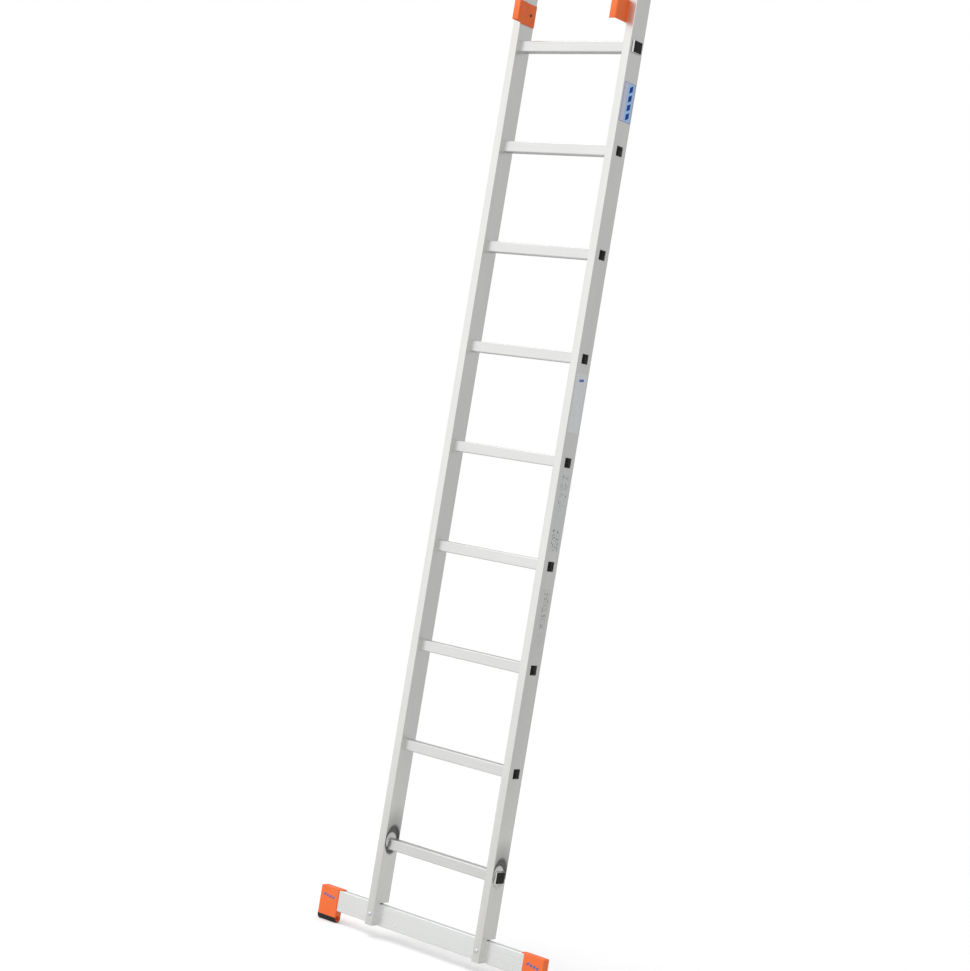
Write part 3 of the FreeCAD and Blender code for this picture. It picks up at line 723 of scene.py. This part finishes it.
def bolt_thread(place, length, crest=4.0 * MM, root=3.4 * MM, pitch=1.0 * MM):
    """Threaded end of a bolt, with rings for the thread."""
    profile = [(root, 1.2 * MM)]
    distance = 1.4 * MM
    while distance < length - 1.4 * MM:
        profile += [(root, distance), (crest, distance + pitch / 2)]
        distance += pitch
    profile += [(root, length - 0.8 * MM), (root - 0.6 * MM, length)]
    return turned(profile, place, TO_BACK, 32)


def bolt_washer(place, radius=7.6 * MM, hole=4.4 * MM, thickness=1.0 * MM, rim=0.4 * MM):
    """Flat washer with a softened rim."""
    profile = [(hole, 0.0), (radius - rim, 0.0), (radius, rim), (radius, thickness - rim / 2)]
    profile += [(radius - rim, thickness), (hole, thickness)]
    return turned_ring(profile, place, TO_BACK, 40)


def bolt_nut(place, across=6.5 * MM, low=1.05 * MM, high=6.0 * MM, hole=4.05 * MM):
    """Hexagon nut with chamfered corners; across is half its width over the flats."""
    corner = across / math.cos(math.radians(30))
    hexagon = turned([(corner, low), (corner, high)], place, TO_BACK, 6)
    chamfer = [(across * 1.02, low), (corner, low + 0.6 * MM)]
    chamfer += [(corner, high - 0.7 * MM), (across * 0.98, high)]
    nut = combined(hexagon, turned(chamfer, place, TO_BACK, 48), "INTERSECT")
    return combined(nut, turned([(hole, 0.0), (hole, 8 * MM)], place, TO_BACK, 32))


def bolt_set():
    """Button-head bolts with washers, chamfered nuts and threaded ends."""
    low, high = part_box("stabiliser_bolts")
    z = (BAR_LOW.z + BAR_HIGH.z) / 2
    x = (INNER_X + OUTER_X) / 2
    parts = []
    for sign in (-1, 1):
        back = (sign * x, BAR_HIGH.y, z)
        parts.append(bolt_head((sign * x, FLANGE_Y, z), FLANGE_Y - low.y))
        parts.append(bolt_thread(back, high.y - BAR_HIGH.y))
        parts.append(bolt_washer(back))
        parts.append(bolt_nut(back))
    return joined(parts)


pair("stabiliser_cap", "moulding", cap_moulding, ORANGE)
pair("stabiliser_sole", "moulding", sole_moulding, RUBBER)
piece("cap_badge_marks", badge_marks(), BLUE, "base_section", ("cap_badges",))
piece("stabiliser_bolt_set", bolt_set(), ZINC, "base_section", ("stabiliser_bolts",))


# ---- guides and their screws
GUIDE_WALL = 3.5 * MM
GUIDE_PLATE = 4.0 * MM
SCREW_Y = FLANGE_Y + 0.6 * (REAR_Y - FLANGE_Y)
SEAT_DEPTH = 2.0 * MM
PEG_RADIUS = 2.4 * MM


def guide_moulding(node):
    """Right-hand guide: plate, arm and lip with wear ribs, a sunk screw seat and two locating pegs."""
    low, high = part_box(node)
    outer = high.x - GUIDE_PLATE
    inner = outer - GUIDE_WALL
    front = FLANGE_Y + 2.0 * MM
    lip = low.y + GUIDE_WALL
    corners = [(high.x, high.y, 0.8 * MM), (high.x, front, 0.8 * MM), (outer, front, 1.2 * MM)]
    corners += [(outer, low.y, 4.5 * MM), (low.x, low.y, 1.6 * MM), (low.x, lip, 1.6 * MM)]
    corners += [(inner, lip, 1.2 * MM)]
    for rib in (low.y + 14.0 * MM, low.y + 34.0 * MM):
        for away, inwards in ((-2.6, 0.0), (-1.8, 0.7), (1.8, 0.7), (2.6, 0.0)):
            corners.append((inner - inwards * MM, rib + away * MM, 0.3 * MM))
    corners += [(inner, front + 7.0 * MM, 1.0 * MM), (outer, front + 10.5 * MM, 1.0 * MM)]
    corners += [(outer, high.y, 3.0 * MM)]
    solid = extruded(rounded(corners, 5), along_z, low.z, high.z, 0.25 * MM, 2)
    middle_z = (low.z + high.z) / 2
    seat = [(5.2 * MM, -1.0 * MM), (5.2 * MM, 1.6 * MM), (4.8 * MM, SEAT_DEPTH)]
    seat += [(2.6 * MM, SEAT_DEPTH), (2.6 * MM, 6.0 * MM)]
    solid = combined(solid, turned(seat, (outer, SCREW_Y, middle_z), TO_RIGHT, 32))
    peg = [(PEG_RADIUS, 2.0 * MM)] + raised(dome(PEG_RADIUS, 1.2 * MM))
    for back, up in ((-19.5, 14.0), (11.5, -18.0)):
        place = (outer, SCREW_Y + back * MM, middle_z + up * MM)
        solid = combined(solid, turned(peg, place, TO_RIGHT, 24), "UNION")
    return solid


def cross_screw(place, direction, head_radius=4.4 * MM, head=1.5 * MM, length=1.9 * MM, shank=2.3 * MM):
    """Pan-head screw with a cross recess; place is its seat and direction points into the work."""
    profile = [(shank, length), (shank, 0.0), (head_radius, 0.0)]
    profile += raised(dome(head_radius, head, 0.3 * MM))
    solid = turned(profile, place, direction, 32)
    along = Vector(direction)
    half_width = 0.55 * MM
    slots = []
    for across in (Vector((0, 1, 0)), Vector((0, 0, 1))):
        other = along.cross(across)
        rings = []
        for depth, half in ((-head - 1 * MM, 2.6 * MM), (-0.4 * MM, 1.3 * MM)):
            middle = Vector(place) + along * depth
            rings.append([middle + across * i * half + other * j * half_width for i, j in CORNER_SIGNS])
        slots.append(loft(rings))
    for slot in slots:
        solid = combined(solid, slot)
    return solid


def guide_screw_set():
    """One screw in the seat of each guide."""
    screws = []
    for name in ("guide_lower_right", "guide_upper_right"):
        seat_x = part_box(name)[1].x - GUIDE_PLATE + SEAT_DEPTH
        for sign in (-1, 1):
            place = (sign * seat_x, SCREW_Y, middle_height(name))
            screws.append(cross_screw(place, (sign, 0, 0)))
    return joined(screws)


pair("guide_lower", "moulding", lambda: guide_moulding("guide_lower_right"), ORANGE)
pair("guide_upper", "moulding", lambda: guide_moulding("guide_upper_right"), ORANGE)
piece("guide_cross_screws", guide_screw_set(), DARK_STEEL, "base_section",
      ("guide_screws",))


# ---- caps over the ends of rungs 1 and 9
def end_cap(centre_z, half_y, half_z, stub=13.3 * MM):
    """Right-hand cap: stub in the tube, a rim round it and a shallow crown."""
    web = OUTER_X + 0.6 * MM
    # Each station is (rise in mm, half width, half height, corner radius in mm)
    stations = [(-14.0, stub - 0.6 * MM, stub - 0.6 * MM, 1.8), (-13.0, stub, stub, 2.0)]
    stations += [(0.0, stub, stub, 2.0), (0.0, half_y - 0.3 * MM, half_z - 0.3 * MM, 2.6)]
    stations += [(0.3, half_y, half_z, 3.0), (4.3, half_y, half_z, 3.0)]
    for drawn_in, rise in ((0.1, 4.7), (0.4, 5.0), (0.9, 5.2), (2.2, 5.3), (5.0, 5.42), (9.0, 5.5)):
        stations.append((rise, half_y - drawn_in * MM, half_z - drawn_in * MM, 3.0 - 0.2 * drawn_in))
    rings = []
    for rise, across, tall, radius in stations:
        outline = rectangle(across, tall, radius * MM, 5, (STILE_Y, centre_z))
        rings.append([Vector((web + rise * MM, u, v)) for u, v in outline])
    return loft(rings)


def end_cap_set():
    """Caps at both ends of rungs 1 and 9."""
    low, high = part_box("base_rung_end_caps")
    half_y, half_z = (high.y - low.y) / 2, high.z - RUNG_NINE_Z
    caps = both(lambda: end_cap(RUNG_ONE_Z, half_y, half_z))
    caps += both(lambda: end_cap(RUNG_NINE_Z, half_y, half_z))
    return joined(caps)


piece("base_rung_crowned_caps", end_cap_set(), BLACK, "base_section",
      ("base_rung_end_caps",))


# ---- ends of the stiles
STILE_WALL = 1.5 * MM
PLUG_RIM = 3.0 * MM
PLUG_CROWN = ((1.6, 0.0), (2.2, 0.5), (2.7, 1.6), (2.95, 3.4), (3.0, 6.0))
TREAD_RIM = ((2.5, 0.0), (3.0, 0.6))
TREAD_GROOVES = 5
GROOVE_DEPTH = 1.4 * MM


def stile_plug(node, outward, grooves=0):
    """Right-hand plug: solid stub in the stile's end, then a crown or a tread with grooves."""
    low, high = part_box(node)
    face = high.z if outward > 0 else low.z
    middle = ((low.x + high.x) / 2, (low.y + high.y) / 2)
    half_x, half_y = (high.x - low.x) / 2, (high.y - low.y) / 2
    stub = STILE_WALL + 0.05 * MM
    stations = [(-25.0 * MM, STILE_WALL + 0.6 * MM, 0.4 * MM), (-24.0 * MM, stub, 0.5 * MM)]
    stations += [(0.0, stub, 0.5 * MM), (0.0, 0.3 * MM, 1.8 * MM), (0.3 * MM, 0.0, 2.0 * MM)]
    for rise, drawn_in in (TREAD_RIM if grooves else PLUG_CROWN):
        stations.append((rise * MM, drawn_in * MM, 2.0 * MM))
    rings = []
    for rise, drawn_in, radius in stations:
        outline = rectangle(half_x - drawn_in, half_y - drawn_in, radius, 5, middle)
        rings.append([Vector((u, v, face + outward * rise)) for u, v in outline])
    solid = loft(rings)
    tip = face + outward * PLUG_RIM
    start, end = sorted((tip - outward * GROOVE_DEPTH, tip + outward * 1.0 * MM))
    for index in range(grooves):
        y = middle[1] + (index - (grooves - 1) / 2) * 2 * half_y / (grooves + 1)
        across = rectangle(half_x + 2 * MM, 1.2 * MM, 0.3 * MM, 3, (middle[0], y))
        solid = combined(solid, extruded(across, along_z, start, end, 0.2 * MM, 2))
    return solid


def crowned_plugs(node):
    """Plugs in the upper ends of a pair of stiles; node is the right-hand stile."""
    return joined(both(lambda: stile_plug(node, 1)))


def foot_tread():
    """Right-hand foot of the fly section."""
    return stile_plug("fly_stile_right", -1, TREAD_GROOVES)


piece("base_top_plugs", crowned_plugs("base_stile_right"), BLACK, "base_section",
      ("base_top_caps",))
piece("fly_top_plugs", crowned_plugs("fly_stile_right"), BLACK, "fly_section",
      ("fly_top_caps",))
pair("fly_foot", "tread", foot_tread, RUBBER, ON_FLY)


# ---- rung locks
HOOK_LOW, HOOK_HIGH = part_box("lock_hook_right")
BRACKET_LOW, BRACKET_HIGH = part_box("lock_bracket_right")
PIN_LOW, PIN_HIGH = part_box("lock_pins")
PIN_Y = (PIN_LOW.y + PIN_HIGH.y) / 2
PIN_Z = (PIN_LOW.z + PIN_HIGH.z) / 2
PIN_RADIUS = 4.0 * MM
PIN_HEAD = 7.0 * MM
PIN_START_X = HOOK_LOW.x - 0.5 * MM
# Corners are (y, z, radius) in millimetres about the pivot
HOOK_CORNERS = (
    (-2.0, -9.0, 4.0), (10.0, -14.0, 2.0), (11.5, -21.5, 1.5), (43.5, -21.5, 3.0), (43.5, -43.0, 1.2),
    (49.0, -43.0, 1.5), (52.0, -38.0, 2.0), (52.0, -10.0, 6.0), (44.0, 1.0, 6.0), (24.0, 9.0, 8.0),
    (-4.0, 9.0, 6.0), (-9.0, 4.0, 4.0), (-9.0, -4.0, 4.0))
POCKET_CORNERS = (
    (12.0, -1.0, 2.0), (40.0, -1.0, 2.0), (47.5, -9.0, 1.5), (47.5, -17.5, 1.5), (14.0, -17.5, 1.5),
    (12.0, -12.0, 2.0))
POCKET_DEPTH = 2.0 * MM


def about_pivot(corners, steps):
    """Side view from corners about the pivot."""
    return rounded([(PIN_Y + y * MM, PIN_Z + z * MM, radius * MM) for y, z, radius in corners], steps)


def hook_casting():
    """Right-hand hook: boss, arm over the rung and beak behind it, with a pocket in each flank."""
    solid = extruded(about_pivot(HOOK_CORNERS, 5), along_x, HOOK_LOW.x, HOOK_HIGH.x, 0.9 * MM)
    pocket = about_pivot(POCKET_CORNERS, 4)
    pockets = ((HOOK_LOW.x - MM, HOOK_LOW.x + POCKET_DEPTH), (HOOK_HIGH.x - POCKET_DEPTH, HOOK_HIGH.x + MM))
    for start, end in pockets:
        solid = combined(solid, extruded(pocket, along_x, start, end, 0.4 * MM, 2))
    bore_radius = PIN_RADIUS + 0.05 * MM
    bore = [(bore_radius, -1 * MM), (bore_radius, 12 * MM)]
    return combined(solid, turned(bore, (HOOK_LOW.x, PIN_Y, PIN_Z), TO_RIGHT, 40))


def pin_set():
    """Pivot pins with domed heads."""
    length = BRACKET_HIGH.x - PIN_START_X
    profile = [(PIN_RADIUS - 0.3 * MM, length), (PIN_RADIUS, length - 0.4 * MM), (PIN_RADIUS, 0.0)]
    profile += [(PIN_HEAD - 0.3 * MM, 0.0), (PIN_HEAD, -0.3 * MM), (PIN_HEAD, -2.0 * MM)]
    profile += raised(dome(PIN_HEAD, 1.9 * MM, 2.1 * MM))
    pins = []
    for sign in (-1, 1):
        pins.append(turned(profile, (sign * PIN_START_X, PIN_Y, PIN_Z), (sign, 0, 0), 40))
    return joined(pins)


def rivet_set(radius=4.5 * MM, shank=2.5 * MM):
    """Domed rivets through the brackets."""
    low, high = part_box("lock_rivets")
    profile = [(shank, 3.0 * MM), (shank, 0.0), (radius - 0.1 * MM, 0.0)]
    profile += raised(dome(radius, 1.8 * MM, 0.2 * MM))
    rivets = []
    for sign in (-1, 1):
        for z in (low.z + radius, high.z - radius):
            place = (sign * BRACKET_LOW.x, (low.y + high.y) / 2, z)
            rivets.append(turned(profile, place, (sign, 0, 0), 28))
    return joined(rivets)


def spring_set(wire=0.7 * MM, coil=6.0 * MM, turns=2.2, leg=5.0 * MM, count=60):
    """Torsion springs between hooks and brackets, with a straight leg at each end."""
    start_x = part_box("lock_springs")[1].x - wire
    end_x = HOOK_HIGH.x + wire + 0.3 * MM
    springs = []
    for sign in (-1, 1):
        path = []
        for index in range(count + 1):
            angle = 2 * math.pi * turns * index / count
            x = start_x + (end_x - start_x) * index / count
            y = PIN_Y + coil * math.cos(angle)
            z = PIN_Z + coil * math.sin(angle)
            path.append(Vector((sign * x, y, z)))
        first = (path[0] - path[1]).normalized()
        last = (path[-1] - path[-2]).normalized()
        before = [path[0] + first * leg * step / 4 for step in (4, 3, 2, 1)]
        after = [path[-1] + last * leg * step / 4 for step in (1, 2, 3, 4)]
        springs.append(swept(before + path + after, wire))
    return joined(springs)


pair("lock_hook", "casting", hook_casting, ZINC, ON_LOCKS)
piece("lock_pivot_pins", pin_set(), ZINC, "fly_section", ("lock_pins",))
piece("lock_domed_rivets", rivet_set(), ZINC, "fly_section", ("lock_rivets",))
piece("lock_coil_springs", spring_set(), ZINC, "fly_section", ("lock_springs",))


# ---- finish of the CAD nodes
def paint(prefixes, material):
    """Give one material to every CAD node whose name starts with a prefix."""
    for name, node in nodes.items():
        if name.startswith(prefixes):
            node.data.materials.clear()
            node.data.materials.append(material)


# Film colour and plain print of each label. A mark is (low y, high y, low z, high z) in millimetres
# from the label's lower front corner, then how much it leans, where its specks start (0 for solid
# print) and its colour.
PRINT_BLUE = (0.010, 0.050, 0.36)
PRINT_PALE = (0.40, 0.66, 0.98)
PRINT_DARK = (0.10, 0.10, 0.11)
PRINT_FAINT = (0.30, 0.31, 0.32)
NAME_BLOCK_PITCH = 24
NAME_MARKS = [
    (0, 50, 0, 105, 0, 0, (0.14, 0.16, 0.45)),
    (1.5, 48.5, 1.2, 103.8, 0, 0, (0.66, 0.67, 0.80)),
    (18, 46, 2.5, 102.5, 0, 0, PRINT_PALE)]
for row in range(4):
    shift = NAME_BLOCK_PITCH * row
    NAME_MARKS.append((26, 40, shift - 8, shift + 8, 0.5, 0, PRINT_BLUE))
RATING_MARKS = [
    (4, 42, 100, 156, 0, 0.62, (0.55, 0.66, 0.86)),
    (14, 34, 134, 141, 0.1, 0, (0.12, 0.20, 0.62)),
    (8, 40, 12, 118, 0, 0.66, (0.42, 0.46, 0.52))]
PICTURE_MARKS = [
    (8, 40, 118, 210, 0, 0.60, PRINT_DARK),
    (8, 38, 4, 60, 0, 0.58, PRINT_DARK),
    (6, 42, 60, 118, 0, 0.66, PRINT_FAINT)]
BATCH_MARKS = [
    (12, 34, 50, 150, 0, 0.56, PRINT_FAINT),
    (6, 26, 6, 44, 0, 0.64, (0.38, 0.52, 0.50))]
LABELS = {
    "label_name_panel": ((0.74, 0.75, 0.82), NAME_MARKS),
    "label_rating_panel": ((0.80, 0.82, 0.84), RATING_MARKS),
    "label_picture_panel": ((0.72, 0.74, 0.73), PICTURE_MARKS),
    "label_batch_panel": ((0.72, 0.73, 0.71), BATCH_MARKS)}


paint(("base_rung_", "fly_rung_"), ALUMINIUM_RUNG)
paint(("base_rung_plugs", "fly_rung_plugs", "base_rung_end_caps"), BLACK)
paint(("base_top_caps", "fly_top_caps"), BLACK)
paint(("base_stile", "fly_stile"), ALUMINIUM_STILE)
paint(("stabiliser_bar",), ALUMINIUM_BAR)
paint(("stabiliser_cap", "guide_lower", "guide_upper"), ORANGE)
paint(("stabiliser_sole", "fly_foot"), RUBBER)
paint(("lock_", "guide_screws", "stabiliser_bolts"), ZINC)
paint(("cap_badges",), BLUE)
for label, (film, marks) in LABELS.items():
    in_metres = [(*(MM * size for size in mark[:4]), *mark[4:]) for mark in marks]
    paint((label,), printed(label, film, in_metres))


# ---- floor, light and camera
FLOOR_Z = cad_box[0][2]
FLOOR_RADIUS = 6.0
FLOOR_FADE_START, FLOOR_FADE_END = 1.2, 5.0
FLOOR_SEEN_BY_METAL = (0.73, 0.73, 0.72)
FLOOR_GLOW = 0.09
WORLD_FRONT_DIRECTION = (-0.60, -0.78, 0.16)
WORLD_SIDE_LEVEL = 0.62
WORLD_FRONT_LEVEL = 1.13
WORLD_BELOW_LEVEL = 0.80
KEY_PLACE = (-2.0, -3.0, 9.0)
KEY_SIZE = (6.0, 6.0)
KEY_POWER = 260.0
CAMERA_PLACE = (3.605, -4.510, 1.3146)
CAMERA_AZIMUTH = math.radians(38.966)
CAMERA_PITCH = math.radians(-0.258)
CAMERA_ROLL = math.radians(9.392)
CAMERA_LENS = 78.85
CAMERA_SENSOR = 36.0
CAMERA_FAR = 100.0


def floor():
    """Plain pale floor that fades into the backdrop, and looks greyer where the metal mirrors it."""
    place = (0.0, 0.0, FLOOR_Z)
    bpy.ops.mesh.primitive_circle_add(vertices=96, radius=FLOOR_RADIUS, fill_type="NGON", location=place)
    plane = bpy.context.object
    plane.name = "floor"
    material = Nodes("floor")
    pale = material.ramp(material.noise(0.6), ((0.3, 0.94), (0.7, 0.96)))
    seen = material.add("ShaderNodeLightPath").outputs["Is Camera Ray"]
    fade = {"Value": material.vector_math("LENGTH", material.object_place), "To Min": 1.0, "To Max": 0.0,
            "From Min": FLOOR_FADE_START, "From Max": FLOOR_FADE_END}
    cover = material.add("ShaderNodeMapRange", fade, interpolation_type="SMOOTHSTEP")
    material.feed(material.shader.inputs["Alpha"], cover.outputs["Result"])
    tone = material.mix(seen, FLOOR_SEEN_BY_METAL, pale)
    material.feed(material.shader.inputs["Emission Color"], grey(1.0))
    glow = material.math("MULTIPLY", seen, FLOOR_GLOW)
    material.feed(material.shader.inputs["Emission Strength"], glow)
    plane.data.materials.append(material.finish(tone, 0.8, Specular_IOR_Level=0.1))


def softbox(name, place, aim, size, power):
    """Large area light that faces a point."""
    light = bpy.data.lights.new(name, "AREA")
    light.shape = "RECTANGLE"
    light.size, light.size_y = size
    light.energy = power
    lamp = bpy.data.objects.new(name, light)
    lamp.location = place
    lamp.rotation_euler = (Vector(aim) - Vector(place)).to_track_quat("-Z", "Y").to_euler()
    bpy.context.scene.collection.objects.link(lamp)


def smooth_range(tree, value, value_from, value_to):
    """Value mapped smoothly from one pair of levels to another."""
    node = tree.nodes.new("ShaderNodeMapRange")
    node.interpolation_type = "SMOOTHSTEP"
    node.inputs["From Min"].default_value, node.inputs["From Max"].default_value = value_from
    node.inputs["To Min"].default_value, node.inputs["To Max"].default_value = value_to
    tree.links.new(value, node.inputs["Value"])
    return node.outputs["Result"]


def world():
    """White behind the object; the metal mirrors a bright front left and a greyer back and ground."""
    sky = bpy.data.worlds.new("studio")
    sky.use_nodes = True
    tree = sky.node_tree
    background = tree.nodes["Background"]
    background.inputs["Color"].default_value = grey(1.0)
    place = tree.nodes.new("ShaderNodeTexCoord").outputs["Generated"]
    facing = tree.nodes.new("ShaderNodeVectorMath")
    facing.operation = "DOT_PRODUCT"
    facing.inputs[1].default_value = Vector(WORLD_FRONT_DIRECTION).normalized()
    tree.links.new(place, facing.inputs[0])
    levels = (WORLD_SIDE_LEVEL, WORLD_FRONT_LEVEL)
    front = smooth_range(tree, facing.outputs["Value"], (-0.25, 0.85), levels)
    height = tree.nodes.new("ShaderNodeSeparateXYZ")
    tree.links.new(place, height.inputs[0])
    below = smooth_range(tree, height.outputs["Z"], (-0.45, 0.15), (WORLD_BELOW_LEVEL, 1.0))
    level = tree.nodes.new("ShaderNodeMath")
    level.operation = "MULTIPLY"
    tree.links.new(front, level.inputs[0])
    tree.links.new(below, level.inputs[1])
    backdrop = tree.nodes.new("ShaderNodeMix")
    seen = tree.nodes.new("ShaderNodeLightPath").outputs["Is Camera Ray"]
    tree.links.new(seen, backdrop.inputs["Factor"])
    tree.links.new(level.outputs[0], backdrop.inputs["A"])
    backdrop.inputs["B"].default_value = 1.0
    tree.links.new(backdrop.outputs["Result"], background.inputs["Strength"])
    bpy.context.scene.world = sky


def camera():
    """Long lens to the front right, rolled so that the upright ladder leans in the picture."""
    data = bpy.data.cameras.new("camera")
    data.sensor_width = CAMERA_SENSOR
    data.lens = CAMERA_LENS
    data.clip_end = CAMERA_FAR
    item = bpy.data.objects.new("camera", data)
    right = Vector((math.cos(CAMERA_AZIMUTH), math.sin(CAMERA_AZIMUTH), 0.0))
    level_ahead = Vector((-math.sin(CAMERA_AZIMUTH), math.cos(CAMERA_AZIMUTH), 0.0))
    ahead = math.cos(CAMERA_PITCH) * level_ahead + Vector((0.0, 0.0, math.sin(CAMERA_PITCH)))
    level_up = right.cross(ahead)
    side = math.cos(CAMERA_ROLL) * right + math.sin(CAMERA_ROLL) * level_up
    up = math.cos(CAMERA_ROLL) * level_up - math.sin(CAMERA_ROLL) * right
    turn = Matrix((side, up, -ahead)).transposed().to_4x4()
    item.matrix_world = Matrix.Translation(CAMERA_PLACE) @ turn
    bpy.context.scene.collection.objects.link(item)
    bpy.context.scene.camera = item


floor()
world()
softbox("key", KEY_PLACE, (0.0, 0.0, 0.0), KEY_SIZE, KEY_POWER)
camera()
bpy.context.scene.view_settings.view_transform = "Standard"
